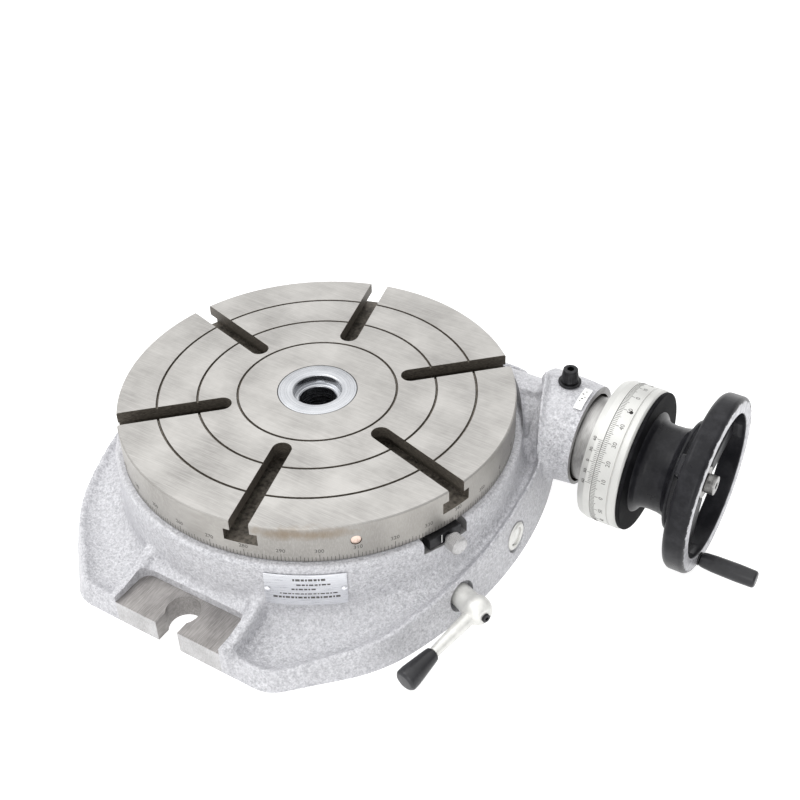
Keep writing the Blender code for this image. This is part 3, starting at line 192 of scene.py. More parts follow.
def lathe(name, profile, finish=None, placed=IDENTITY, steps=96, soft=0.3, ripple=None):
    """A profile of (radius, height) turned about local Z; a ring if it doesn't start on the axis."""
    closed = profile[0][0] > 0
    points = softened(profile, soft, closed) if soft else profile
    bm = bmesh.new()
    rings = []
    for radius, height in points:
        if radius < 0.01:
            rings.append([bm.verts.new((0, 0, height))])
            continue
        ring = []
        for k in range(steps):
            angle = 2 * pi * k / steps
            r = radius if ripple is None else ripple(radius, height, k)
            ring.append(bm.verts.new((r * cos(angle), r * sin(angle), height)))
        rings.append(ring)
    pairs = list(zip(rings, rings[1:]))
    if closed:
        pairs.append((rings[-1], rings[0]))
    for first, second in pairs:
        for k in range(steps):
            j = (k + 1) % steps
            corners = [first[k % len(first)], first[j % len(first)]]
            corners += [second[j % len(second)], second[k % len(second)]]
            bm.faces.new(list(dict.fromkeys(corners)))
    return make(name, bm, finish, placed)


def prism(name, outline, low, high, finish=None, placed=IDENTITY):
    """A flat outline raised from a low to a high local Z."""
    bm = bmesh.new()
    face = bm.faces.new([bm.verts.new((x, y, low)) for x, y in outline])
    grown = bmesh.ops.extrude_face_region(bm, geom=[face])
    raised = [item for item in grown["geom"] if isinstance(item, bmesh.types.BMVert)]
    bmesh.ops.translate(bm, verts=raised, vec=(0, 0, high - low))
    return make(name, bm, finish, placed)


def box_outline(x0, y0, x1, y1):
    return [(x0, y0), (x1, y0), (x1, y1), (x0, y1)]


def circle(radius, count=48):
    angles = [2 * pi * k / count for k in range(count)]
    return [(radius * cos(angle), radius * sin(angle)) for angle in angles]


def hexagon(across_flats):
    return circle(across_flats / sqrt(3), 6)


def arc(centre, radius, start, sweep, pieces):
    """Points along part of a circle, the end included."""
    angles = [start + sweep * k / pieces for k in range(pieces + 1)]
    return [(centre[0] + radius * cos(angle), centre[1] + radius * sin(angle)) for angle in angles]


def bake(obj):
    """Turns the object's modifiers into its mesh."""
    bpy.context.view_layer.update()
    graph = bpy.context.evaluated_depsgraph_get()
    mesh = bpy.data.meshes.new_from_object(obj.evaluated_get(graph))
    obj.modifiers.clear()
    obj.data = mesh


def carve(target, cutters, operation="DIFFERENCE"):
    """Cuts with, or joins, each object in turn, then removes it."""
    for cutter in cutters:
        modifier = target.modifiers.new("Carve", "BOOLEAN")
        modifier.operation = operation
        modifier.solver = "MANIFOLD"
        modifier.material_mode = "TRANSFER"
        modifier.object = cutter
    bake(target)
    for cutter in cutters:
        bpy.data.objects.remove(cutter, do_unlink=True)
    return target


def bevel(obj, width, segments=2, angle=35):
    """Rounds the edges that are sharper than an angle in degrees."""
    modifier = obj.modifiers.new("Bevel", "BEVEL")
    modifier.width = width * MM
    modifier.segments = segments
    modifier.limit_method = "ANGLE"
    modifier.angle_limit = radians(angle)
    modifier.harden_normals = True
    return obj


def even_normals(obj):
    """Shades flat faces flat and lets the small faces at their edges bend."""
    modifier = obj.modifiers.new("Normals", "WEIGHTED_NORMAL")
    modifier.keep_sharp = True
    return obj


def piece(obj, body, *nodes, slot=None):
    """The object is part of the model: it rides on a body and may stand for CAD nodes."""
    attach(obj, body)
    if nodes:
        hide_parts(*nodes)
    return obj


def turned_piece(name, profile, finish, placed, steps, body, node, slot, soft=0.3, ripple=None):
    """A lathe's work that stands for one CAD node."""
    piece(lathe(name, profile, finish, placed, steps, soft, ripple), body, node, slot=slot)


def joined(name, meshes, finish):
    """One object from several meshes in millimetres."""
    bm = bmesh.new()
    for mesh in meshes:
        bm.from_mesh(mesh)
        bpy.data.meshes.remove(mesh)
    return make(name, bm, finish, smooth=False)


def repaint(obj, finish, chosen):
    """Gives a finish that the object already has to the faces whose centre, in millimetres, is chosen."""
    index = [material.name for material in obj.data.materials].index(finish.name)
    for face in obj.data.polygons:
        if chosen(face.center / MM, face.normal):
            face.material_index = index


# ---------------------------------------------------------------- marks on round surfaces


def wrapped(mesh, around, radius, angle, height):
    """Bends a flat mesh (x along the circumference, y up, z outwards) round an axis.

    around is (centre, up, first, second): the surface point at an angle is centre + first * cos
    + second * sin, times the radius.
    """
    centre, up, first, second = around
    for vertex in mesh.vertices:
        turn = angle + vertex.co.x / radius
        out = first * cos(turn) + second * sin(turn)
        vertex.co = centre + up * (height + vertex.co.y) + out * (radius + vertex.co.z)
    mesh.update()
    return mesh


def strip_mesh(x0, y0, x1, y1, proud, pieces=1):
    """A thin flat strip standing proud of the surface it lies on."""
    bm = bmesh.new()
    rows = []
    for i in range(pieces + 1):
        x = x0 + (x1 - x0) * i / pieces
        corners = ((y0, -proud), (y0, proud), (y1, proud), (y1, -proud))
        rows.append([bm.verts.new((x, y, z)) for y, z in corners])
    for first, second in zip(rows, rows[1:]):
        for k in range(4):
            j = (k + 1) % 4
            bm.faces.new((first[k], first[j], second[j], second[k]))
    bm.faces.new(rows[0])
    bm.faces.new(rows[-1])
    bmesh.ops.recalc_face_normals(bm, faces=bm.faces)
    mesh = bpy.data.meshes.new("strip")
    bm.to_mesh(mesh)
    bm.free()
    return mesh


def numeral_mesh(text, size):
    """A flat numeral standing proud of the surface that it lies on."""
    curve = bpy.data.curves.new("numeral", "FONT")
    curve.body = text
    curve.size = size
    curve.align_x = "CENTER"
    curve.align_y = "CENTER"
    curve.resolution_u = 3
    curve.extrude = MARK_PROUD
    holder = bpy.data.objects.new("numeral", curve)
    bpy.context.scene.collection.objects.link(holder)
    bpy.context.view_layer.update()
    graph = bpy.context.evaluated_depsgraph_get()
    mesh = bpy.data.meshes.new_from_object(holder.evaluated_get(graph))
    bpy.data.objects.remove(holder, do_unlink=True)
    bpy.data.curves.remove(curve)
    return mesh


def scale_marks(around, radius, lines, numerals, width, size):
    """Meshes of lines (angle, height, length) and numerals (angle, height, text) round an axis."""
    meshes = []
    for angle, height, length in lines:
        line = strip_mesh(-width / 2, 0, width / 2, length, MARK_PROUD)
        meshes.append(wrapped(line, around, radius, angle, height))
    for angle, height, text in numerals:
        meshes.append(wrapped(numeral_mesh(text, size), around, radius, angle, height))
    return meshes


def line_length(step, plain, fifth, tenth):
    """Lines are longer at each 5 and longest at each 10."""
    if step % 10 == 0:
        return tenth
    return fifth if step % 5 == 0 else plain


X = Vector((1, 0, 0))
Y = Vector((0, 1, 0))
Z = Vector((0, 0, 1))
ROUND_TABLE = (Vector((0, 0, 0)), Z, X, Y)
ROUND_WORM = (Vector((0, WORM_Y, WORM_Z)), -X, Z, Y)


# ---------------------------------------------------------------- materials


class Shader:
    """A material's node tree, with short ways to add texture nodes."""

    def __init__(self, name, colour, roughness, metallic, **sockets):
        self.material = bpy.data.materials.new(name)
        self.material.use_nodes = True
        self.tree = self.material.node_tree
        self.principled = self.tree.nodes["Principled BSDF"]
        self.set("Base Color", (*colour, 1))
        self.set("Roughness", roughness)
        self.set("Metallic", metallic)
        for socket, value in sockets.items():
            self.set(socket.replace("_", " "), value)
        self.place = self.node("ShaderNodeTexCoord").outputs["Object"]

    def set(self, socket, value):
        self.principled.inputs[socket].default_value = value

    def node(self, kind, **settings):
        made = self.tree.nodes.new(kind)
        for key, value in settings.items():
            setattr(made, key, value)
        return made

    def link(self, output, target):
        self.tree.links.new(output, target)

    def stretched(self, scale, turn=(0, 0, 0)):
        mapping = self.node("ShaderNodeMapping")
        mapping.inputs["Scale"].default_value = scale
        mapping.inputs["Rotation"].default_value = turn
        self.link(self.place, mapping.inputs["Vector"])
        return mapping.outputs["Vector"]

    def noise(self, scale, detail=2.0, vector=None, rough=0.5):
        made = self.node("ShaderNodeTexNoise")
        made.inputs["Scale"].default_value = scale
        made.inputs["Detail"].default_value = detail
        made.inputs["Roughness"].default_value = rough
        self.link(self.place if vector is None else vector, made.inputs["Vector"])
        return made.outputs["Fac"]

    def math(self, operation, first, second=0.0):
        made = self.node("ShaderNodeMath", operation=operation)
        for socket, value in zip(made.inputs, (first, second)):
            if isinstance(value, (int, float)):
                socket.default_value = value
            else:
                self.link(value, socket)
        return made.outputs["Value"]

    def remap(self, value, low, high, start, end):
        made = self.node("ShaderNodeMapRange")
        self.link(value, made.inputs["Value"])
        for socket, number in zip(("From Min", "From Max", "To Min", "To Max"), (low, high, start, end)):
            made.inputs[socket].default_value = number
        return made.outputs["Result"]

    def mix(self, factor, first, second):
        made = self.node("ShaderNodeMix", data_type="RGBA")
        self.link(factor, made.inputs["Factor"])
        for name, value in (("A", first), ("B", second)):
            socket = next(s for s in made.inputs if s.name == name and s.type == "RGBA")
            if isinstance(value, tuple):
                socket.default_value = (*value, 1)
            else:
                self.link(value, socket)
        return next(s for s in made.outputs if s.type == "RGBA")

    def bump(self, height, distance, strength=1.0, below=None):
        made = self.node("ShaderNodeBump")
        made.inputs["Strength"].default_value = strength
        made.inputs["Distance"].default_value = distance * MM
        self.link(height, made.inputs["Height"])
        if below is not None:
            self.link(below, made.inputs["Normal"])
        return made.outputs["Normal"]

    def finish(self, colour=None, roughness=None, normal=None):
        for socket, output in (("Base Color", colour), ("Roughness", roughness), ("Normal", normal)):
            if output is not None:
                self.link(output, self.principled.inputs[socket])
        return self.material

    def distance_from(self, centre, stretch, turn=0.0):
        """How many millimetres a point is from a centre, each axis weighted, in a frame turned about Z."""
        offset = self.node("ShaderNodeVectorMath", operation="SUBTRACT")
        place = self.stretched((1, 1, 1), (0, 0, -turn)) if turn else self.place
        self.link(place, offset.inputs[0])
        offset.inputs[1].default_value = [value * MM for value in centre]
        scaled = self.node("ShaderNodeVectorMath", operation="MULTIPLY")
        self.link(offset.outputs["Vector"], scaled.inputs[0])
        scaled.inputs[1].default_value = [weight / MM for weight in stretch]
        length = self.node("ShaderNodeVectorMath", operation="LENGTH")
        self.link(scaled.outputs["Vector"], length.inputs[0])
        return length.outputs["Value"]


def cast_paint():
    """Thick silver-grey paint over sand-cast iron: grainy, speckled and a little glossy."""
    s = Shader("casting paint", (0.46, 0.46, 0.48), 0.45, 0.1, Specular_IOR_Level=0.6)
    grain = s.noise(900, 2, rough=0.6)
    speckle = s.noise(420, 3, rough=0.7)
    cloud = s.noise(30, 3)
    tone = s.math("ADD", s.math("MULTIPLY", grain, 0.5), s.math("MULTIPLY", speckle, 0.5))
    fine = s.mix(s.remap(tone, 0.38, 0.64, 0, 1), (0.30, 0.30, 0.32), (0.67, 0.67, 0.695))
    colour = s.mix(s.remap(cloud, 0.35, 0.65, 0.1, 0.4), fine, (0.45, 0.45, 0.47))
    rough = s.remap(grain, 0.3, 0.7, 0.32, 0.58)
    low = s.bump(speckle, 0.9, 0.9)
    return s.finish(colour, rough, s.bump(grain, 0.4, 0.8, low))


def ground_iron():
    """Surface-ground grey iron: crossing grinding marks, warm tint and an oil stain on the rim."""
    s = Shader("ground iron", (0.50, 0.475, 0.44), 0.36, 0.8)
    one = s.noise(1, 3, s.stretched((60, 2600, 400), (0, 0, radians(28))))
    two = s.noise(1, 3, s.stretched((60, 2600, 400), (0, 0, radians(-24))))
    marks = s.math("MAXIMUM", one, two)
    patches = s.noise(26, 4, rough=0.6)
    warm = s.mix(s.remap(patches, 0.32, 0.68, 0, 1), (0.30, 0.291, 0.279), (0.45, 0.438, 0.42))
    scored = s.mix(s.remap(marks, 0.5, 0.75, 0, 0.5), warm, (0.545, 0.532, 0.51))
    on_rim = s.distance_from((TABLE_RADIUS - 1.5, 0, TABLE_TOP - 4.5), (2.4, 0.3, 2.2), STAIN_ANGLE)
    wander = s.math("ADD", on_rim, s.math("MULTIPLY", s.noise(110, 4, rough=0.65), 17))
    radius = s.distance_from((0, 0, 0), (1, 1, 0))
    on_side = s.remap(radius, TABLE_RADIUS - 0.7, TABLE_RADIUS - 0.2, 0, 0.5)
    aged = s.mix(on_side, scored, (0.30, 0.285, 0.262))
    stained = s.mix(s.remap(wander, 10, 20, 0.75, 0), aged, (0.22, 0.165, 0.105))
    rough = s.remap(s.math("ADD", marks, patches), 0.8, 1.4, 0.48, 0.28)
    return s.finish(stained, rough, s.bump(marks, 0.05, 0.4))


def slot_iron():
    """Near-black iron inside slots, holes and groove bottoms: painted shade for the dark of these recesses.
    """
    s = Shader("recess shade iron", (0.07, 0.06, 0.05), 0.5, 0.5)
    marks = s.noise(1, 2, s.stretched((500, 500, 3000)))
    colour = s.mix(s.remap(marks, 0.3, 0.7, 0, 1), (0.05, 0.044, 0.036), (0.17, 0.15, 0.125))
    return s.finish(colour, s.remap(marks, 0.3, 0.7, 0.4, 0.6), s.bump(marks, 0.1, 0.5))


def milled(name, dark, light, rough):
    """Milled iron with tool arcs and a dull tone."""
    s = Shader(name, light, rough, 0.75)
    arcs = s.noise(1, 2, s.stretched((1800, 140, 600), (0, 0, radians(18))))
    patches = s.noise(90, 4)
    tone = s.math("ADD", s.math("MULTIPLY", arcs, 0.5), s.math("MULTIPLY", patches, 0.5))
    colour = s.mix(s.remap(tone, 0.36, 0.64, 0, 1), dark, light)
    return s.finish(colour, s.remap(patches, 0.3, 0.7, rough - 0.06, rough + 0.1), s.bump(arcs, 0.08, 0.6))


def turned_metal(name, dark, light, rough, metallic=1.0, axis="Z"):
    """Metal with the fine rings of a lathe tool round the given axis."""
    s = Shader(name, light, rough, metallic)
    if axis == "Z":
        centre, across, along = (0, 0, 0), (1, 1, 0), (0, 0, 1)
    else:
        centre, across, along = (0, WORM_Y, WORM_Z), (0, 1, 1), (1, 0, 0)
    out = s.distance_from(centre, across)
    up = s.distance_from((-1000, -1000, -1000), along)
    rings = s.noise(1, 2)
    vector = s.node("ShaderNodeCombineXYZ")
    s.link(s.math("MULTIPLY", out, 2.6), vector.inputs["X"])
    s.link(s.math("MULTIPLY", up, 2.6), vector.inputs["Y"])
    s.link(vector.outputs["Vector"], rings.node.inputs["Vector"])
    patches = s.noise(70, 3)
    tone = s.math("ADD", s.math("MULTIPLY", rings, 0.6), s.math("MULTIPLY", patches, 0.4))
    colour = s.mix(s.remap(tone, 0.35, 0.65, 0, 1), dark, light)
    return s.finish(colour, s.remap(tone, 0.35, 0.65, rough - 0.05, rough + 0.08), s.bump(rings, 0.03, 0.35))


def plain_metal(name, dark, light, rough, metallic=1.0, scale=300):
    """Metal with a slightly patchy tone and no tool marks."""
    s = Shader(name, light, rough, metallic)
    patches = s.noise(scale, 4, rough=0.6)
    colour = s.mix(s.remap(patches, 0.32, 0.68, 0, 1), dark, light)
    uneven = s.remap(patches, 0.3, 0.7, rough - 0.05, rough + 0.1)
    return s.finish(colour, uneven, s.bump(patches, 0.05, 0.4))


def enamel(name, colour, rough, **sockets):
    """Stoving enamel or moulded plastic: slight orange peel, dusty patches."""
    s = Shader(name, colour, rough, 0.0, **sockets)
    peel = s.noise(420, 2)
    dust = s.noise(60, 5, rough=0.7)
    lighter = tuple(min(1.0, c * 2.2 + 0.012) for c in colour)
    tone = s.mix(s.remap(dust, 0.45, 0.75, 0, 0.8), colour, lighter)
    return s.finish(tone, s.remap(dust, 0.3, 0.7, rough - 0.05, rough + 0.12), s.bump(peel, 0.12, 0.35))


def wheel_enamel():
    """Black enamel, worn to pale metal on the machined front face of the rim, with a ragged edge."""
    s = Shader("wheel enamel", (0.012, 0.012, 0.014), 0.4, 0.0, Specular_IOR_Level=0.16)
    peel = s.noise(420, 2)
    dust = s.noise(60, 5, rough=0.7)
    black = s.mix(s.remap(dust, 0.45, 0.75, 0, 0.8), (0.010, 0.010, 0.012), (0.034, 0.034, 0.038))
    ahead = s.distance_from((RIM_FRONT_X, WORM_Y, WORM_Z), (1, 0, 0))
    out = s.distance_from((0, WORM_Y, WORM_Z), (0, 1, 1))
    ragged = s.math("MULTIPLY", s.noise(190, 3, rough=0.7), 7)
    on_face = s.remap(ahead, 0.3, 0.7, 1, 0)
    inside = s.remap(s.math("ADD", out, ragged), WHEEL_RIM_RADIUS + 0.6, WHEEL_RIM_RADIUS + 1.4, 1, 0)
    worn = s.math("MULTIPLY", on_face, inside)
    metal = s.mix(s.remap(s.noise(300, 3), 0.3, 0.7, 0, 1), (0.34, 0.34, 0.36), (0.60, 0.60, 0.62))
    s.link(s.math("MULTIPLY", worn, 0.75), s.principled.inputs["Metallic"])
    rough = s.remap(s.math("ADD", dust, s.math("MULTIPLY", worn, 0.5)), 0.3, 1.2, 0.26, 0.5)
    return s.finish(s.mix(worn, black, metal), rough, s.bump(peel, 0.12, 0.35))


def brushed(name, dark, light, rough, turn):
    """Sheet metal brushed along one direction."""
    s = Shader(name, light, rough, 0.85)
    lines = s.noise(1, 2, s.stretched((120, 120, 4200), turn))
    colour = s.mix(s.remap(lines, 0.35, 0.65, 0, 1), dark, light)
    return s.finish(colour, s.remap(lines, 0.3, 0.7, rough - 0.05, rough + 0.08), s.bump(lines, 0.03, 0.4))


def oil_glass():
    """Pale, slightly cloudy glass."""
    s = Shader("oil glass", (0.88, 0.88, 0.86), 0.08, 0.0, Transmission_Weight=0.2, IOR=1.47)
    cloud = s.noise(200, 2)
    colour = s.mix(s.remap(cloud, 0.3, 0.7, 0, 1), (0.82, 0.81, 0.77), (0.92, 0.92, 0.90))
    return s.finish(colour)


PAINT = cast_paint()
GROUND = ground_iron()
# Painted shade: near-black iron for the inside of slots, holes and grooves.
RECESS_SHADE_IRON = slot_iron()
PAD_IRON = milled("milled pad", (0.20, 0.19, 0.185), (0.36, 0.345, 0.335), 0.5)
FACE_IRON = milled("milled face", (0.36, 0.355, 0.355), (0.56, 0.555, 0.56), 0.45)
RIM_STEEL = turned_metal("turned ring", (0.54, 0.53, 0.51), (0.76, 0.75, 0.73), 0.28, 0.85)
SLEEVE_STEEL = turned_metal("hardened steel", (0.34, 0.35, 0.37), (0.56, 0.57, 0.59), 0.24)
BRIGHT_STEEL = turned_metal("bright steel", (0.24, 0.235, 0.23), (0.42, 0.415, 0.405), 0.34, axis="X")
CHROME = turned_metal("satin chrome", (0.50, 0.50, 0.485), (0.60, 0.60, 0.58), 0.4, 0.5, axis="X")
MARKS = plain_metal("filled marks", (0.05, 0.048, 0.045), (0.12, 0.115, 0.11), 0.6, 0.2)
BLACK = wheel_enamel()
# Painted shade: a darker, duller copy of the wheel's black enamel for the flange's face.
FLANGE_SHADE_BLACK = enamel("flange shade enamel", (0.007, 0.007, 0.008), 0.55, Specular_IOR_Level=0.03)
PLASTIC = enamel("black plastic", (0.014, 0.014, 0.016), 0.32, Specular_IOR_Level=0.4)
OXIDE = plain_metal("black oxide", (0.012, 0.012, 0.013), (0.035, 0.035, 0.038), 0.34, 0.7)
DARK = plain_metal("dark steel", (0.10, 0.10, 0.105), (0.20, 0.20, 0.21), 0.38)
ZINC = plain_metal("pale zinc", (0.60, 0.60, 0.575), (0.74, 0.735, 0.71), 0.34, 0.4, 180)
COPPER = plain_metal("copper plug", (0.68, 0.50, 0.42), (0.86, 0.70, 0.61), 0.38, 0.8)
BRONZE = plain_metal("bronze", (0.46, 0.29, 0.13), (0.64, 0.43, 0.21), 0.34)
SHEET = brushed("sheet steel", (0.34, 0.345, 0.35), (0.50, 0.505, 0.51), 0.38, (pi / 2, 0, 0))
PLATE = brushed("plate aluminium", (0.66, 0.67, 0.70), (0.82, 0.83, 0.86), 0.3, (0, 0, 0))
WHITE = enamel("white label", (0.78, 0.78, 0.77), 0.4)
GLASS = oil_glass()


# ---------------------------------------------------------------- base casting


def corner_polygon(inset):
    """The base's straight-sided outline, moved inwards, with the radius of each corner."""
    right_back = [(142.2, 49.4, 262), (117.0, 114.1, 96), (70.6, 160.5, 20)]
    left_back = [(-x, y, r) for x, y, r in reversed(right_back)]
    back = right_back + left_back
    corners = back + [(-x, -y, r) for x, y, r in back]
    moved = []
    for i, (x, y, r) in enumerate(corners):
        here = Vector((x, y))
        into = (here - Vector(corners[i - 1][:2])).normalized()
        out = (Vector(corners[(i + 1) % len(corners)][:2]) - here).normalized()
        first = Vector((-into.y, into.x))
        middle = (first + Vector((-out.y, out.x))).normalized()
        point = here + middle * inset / middle.dot(first)
        moved.append((point.x, point.y, r - inset))
    return moved


def outline(inset):
    """The rounded outline as (angle, radius) points in order of angle."""
    corners = corner_polygon(inset)
    points = []
    for i, (x, y, r) in enumerate(corners):
        here = Vector((x, y))
        into = (Vector(corners[i - 1][:2]) - here).normalized()
        out = (Vector(corners[(i + 1) % len(corners)][:2]) - here).normalized()
        turn = pi - into.angle(out)
        start = here + into * r * tan(turn / 2)
        centre = start + Vector((into.y, -into.x)) * r
        for k in range(25):
            spoke = Matrix.Rotation(turn * k / 24, 2) @ (start - centre)
            point = centre + spoke
            points.append((atan2(point.y, point.x) % (2 * pi), point.length))
    return sorted(points)


def edge_radius(points, angle):
    """How far the outline is from the Z axis at an angle, along straight lines between its points."""
    angle %= 2 * pi
    before = points[-1]
    for point in points:
        if point[0] >= angle:
            break
        before = point
    else:
        point = points[0]
    a = Vector((before[1] * cos(before[0]), before[1] * sin(before[0])))
    b = Vector((point[1] * cos(point[0]), point[1] * sin(point[0])))
    ray = Vector((cos(angle), sin(angle)))
    side = b - a
    across = ray.x * side.y - ray.y * side.x
    if abs(across) < 1e-6:
        return point[1]
    return (a.x * side.y - a.y * side.x) / across


def lip_height(x, y):
    """The height of the outer wall: full beside the worm, falling towards both lugs."""
    full = 39.5
    low = 13
    front = full - 0.156 * max(0.0, 20 - y)
    back_start = 100 if x > 0 else 62
    back = full - 0.30 * max(0.0, y - back_start)
    return max(low, min(front, back))


def trough_depth(width, y):
    """How deep the dish is between the ring wall and a lip this far away: deepest beside the worm."""
    share = min(1.15, max(0.5, 0.9 + 0.0045 * y))
    return share * min(11, max(7, 0.32 * width))


def deck_profile(outer, lip, height, y):
    """(radius, height) from the foot of the outer wall over its lip and the dish to the ring wall."""
    foot = RING_RADIUS + 0.5
    width = lip - foot
    foot_height = height + 1.5
    profile = [(outer + 0.4, UNDERSIDE), (outer, 0.0)]
    profile += [(lip + 0.5, height - 0.8), (lip - 0.6, height)]
    for i in range(DISH_STEPS - 1, 0, -1):
        t = i / DISH_STEPS
        lean = t**1.4
        dish = trough_depth(width, y) * (4 * lean * (1 - lean)) ** 0.7
        profile.append((foot + (width - 1.6) * t, foot_height + (height - foot_height) * t - dish))
    profile.append((foot, foot_height + 2.5))
    profile.append((RING_RADIUS, foot_height + 6))
    profile.append((RING_RADIUS, RING_TOP + 3))
    return profile


def skin(name, column_at):
    """A closed shape round the Z axis, from the (radius, height) points that it has at an angle."""
    bm = bmesh.new()
    columns = []
    for k in range(DECK_STEPS):
        angle = 2 * pi * k / DECK_STEPS
        points = column_at(angle)
        columns.append([bm.verts.new((r * cos(angle), r * sin(angle), z)) for r, z in points])
    for here, there in zip(columns, columns[1:] + columns[:1]):
        for i in range(len(here) - 1):
            bm.faces.new((here[i], there[i], there[i + 1], here[i + 1]))
    bm.faces.new([column[0] for column in reversed(columns)])
    bm.faces.new([column[-1] for column in columns])
    bmesh.ops.triangulate(bm, faces=[face for face in bm.faces if len(face.verts) > 4])
    return make(name, bm, None)


def deck_blank():
    """The dished deck inside its raised lip."""
    wall = outline(0)
    crest = outline(4.6)

    def column_at(angle):
        lip = edge_radius(crest, angle)
        y = lip * sin(angle)
        return deck_profile(edge_radius(wall, angle), lip, lip_height(lip * cos(angle), y), y)

    return skin("deck_blank", column_at)


def drafted_hull(name, inset):
    """The outer wall carried on upwards, leaning in, as a solid moved in by an inset."""
    foot = outline(inset)
    top = outline(inset + 10)
    return skin(name, lambda angle: [(edge_radius(foot, angle), UNDERSIDE), (edge_radius(top, angle), 88)])


def flange_blank():
    """The wall that rises round the boss as a crest along the outer wall."""
    profile = [(0, 150), (38.5, 150), (38.5, 90), (0, 90)]
    flange = lathe("flange_blank", profile, None, BOSS, soft=0)
    carve(flange, [drafted_hull("hull_part", 0)], "INTERSECT")
    behind = prism("behind_cutter", box_outline(0, WORM_Y + 3, FAR, FAR), -20, FAR)
    return carve(flange, [drafted_hull("trough_cutter", CREST_WIDTH), behind])


def boss_blank():
    """The barrel of the boss, its front half only outside the crest."""
    profile = [(0, 152), (33, 152), (33.4, 148), (34.6, 134), (34.8, 112), (0, 112)]
    barrel = lathe("boss_blank", profile, None, BOSS, 72, soft=1)
    inner = drafted_hull("inner_part", CREST_WIDTH)
    carve(inner, [prism("front_half", box_outline(0, 0, FAR, WORM_Y), -20, FAR)], "INTERSECT")
    return carve(barrel, [inner])


def ridge_blank():
    """The round ridge over the worm, with a thicker shoulder behind the boss."""
    profile = [(0, 136), (SHOULDER_RADIUS, 136), (SHOULDER_RADIUS, 116), (26.5, 111), (26.5, 0), (0, 0)]
    return lathe("ridge_blank", profile, None, SLEEVE, 72, soft=0)


def valley_cutter():
    """The deep hollow between the ring's wall and the wall that rises round the boss."""
    valley = drafted_hull("valley_cutter", CREST_WIDTH)
    plan = box_outline(60, 34, FAR, WORM_Y - 6)
    carve(valley, [prism("plan_part", plan, 45, FAR)], "INTERSECT")
    ring = [(0, FAR), (RING_RADIUS + 1, FAR), (RING_RADIUS + 1, -FAR), (0, -FAR)]
    ridge = [(0, FAR), (SHOULDER_RADIUS, FAR), (SHOULDER_RADIUS, 118.5), (23, 118.5), (23, -FAR), (0, -FAR)]
    kept = [lathe("ring_part", ring, steps=180, soft=0)]
    kept.append(lathe("ridge_part", ridge, None, SLEEVE, soft=0))
    return carve(valley, kept)


def lug_blanks():
    """The low block of each lug between the crests that run down both sides of its pad."""
    sideways = Matrix(((0, 0, 1, 0), (1, 0, 0, 0), (0, 1, 0, 0), (0, 0, 0, 1)))
    front = LUG_Y + 1
    crest = [
        (112, UNDERSIDE), (front, UNDERSIDE), (front - 1.5, 14), (front - 4, 18.5),
        (136, 24), (124, 29), (112, 29),
    ]
    middle = [(112, UNDERSIDE), (front, UNDERSIDE), (front, 20), (134, 20), (127, 24), (112, 24)]
    made = []
    for turn in (IDENTITY, HALF_TURN):
        made.append(prism("middle_blank", middle, -42, 42, None, turn @ sideways))
        for low, high in ((-44.5, -37), (37, 44.5)):
            made.append(prism("crest_blank", crest, low, high, None, turn @ sideways))
    return made


def pad_cutters():
    """The pocket over each pad, its bolt slot and the lug's flat front face."""
    half = PAD_HALF_WIDTH
    front = LUG_Y + 9
    corner = 7
    pocket = [(-half, front), *arc((corner - half, PAD_BACK_Y + corner), corner, pi, pi / 2, 8)]
    pocket += [*arc((half - corner, PAD_BACK_Y + corner), corner, 1.5 * pi, pi / 2, 8), (half, front)]
    slot = box_outline(-8, 145, 8, front)
    made = []
    for turn in (IDENTITY, HALF_TURN):
        made.append(prism("pad_cutter", pocket, PAD_Z, 70, PAINT, turn))
        made.append(prism("slot_cutter", slot, -9, 40, PAD_IRON, turn))
        made.append(prism("slot_end_cutter", circle(10.5, 40), -9, 40, PAD_IRON, turn @ at(0, 145, 0)))
        for start, end, finish in ((-80, -half, PAINT), (-half, half, FACE_IRON), (half, 80, PAINT)):
            face = box_outline(start, LUG_Y, end, LUG_Y + 20)
            made.append(prism("lug_face_cutter", face, -9, 60, finish, turn))
    return made


def cavity_cutter():
    """The table's seat and the hollow under it, open at the bottom."""
    profile = [
        (0, 90), (117.95, 90), (117.95, 60.5), (84, 60.5), (84, 25), (42, 25), (42, 45.2),
        (30.3, 45.2), (30.3, 21), (70, 21), (70, 4.3), (80, 4.3), (80, -9), (0, -9),
    ]
    return lathe("cavity_cutter", profile, FACE_IRON, steps=120, soft=0)


def bore_cutters():
    """The boss's machined mouth and the stepped bore for the eccentric sleeve."""
    bore = [
        (0, 170), (29.9, 170), (29.9, 143), (28.5, 143), (28.5, 120.7),
        (14.5, 120.7), (14.5, -66), (0, -66),
    ]
    mouth = box_outline(-60, -60, 60, 60)
    made = [lathe("bore_cutter", bore, RECESS_SHADE_IRON, SLEEVE, soft=0)]
    return made + [prism("mouth_cutter", mouth, 149, 175, FACE_IRON, SLEEVE)]


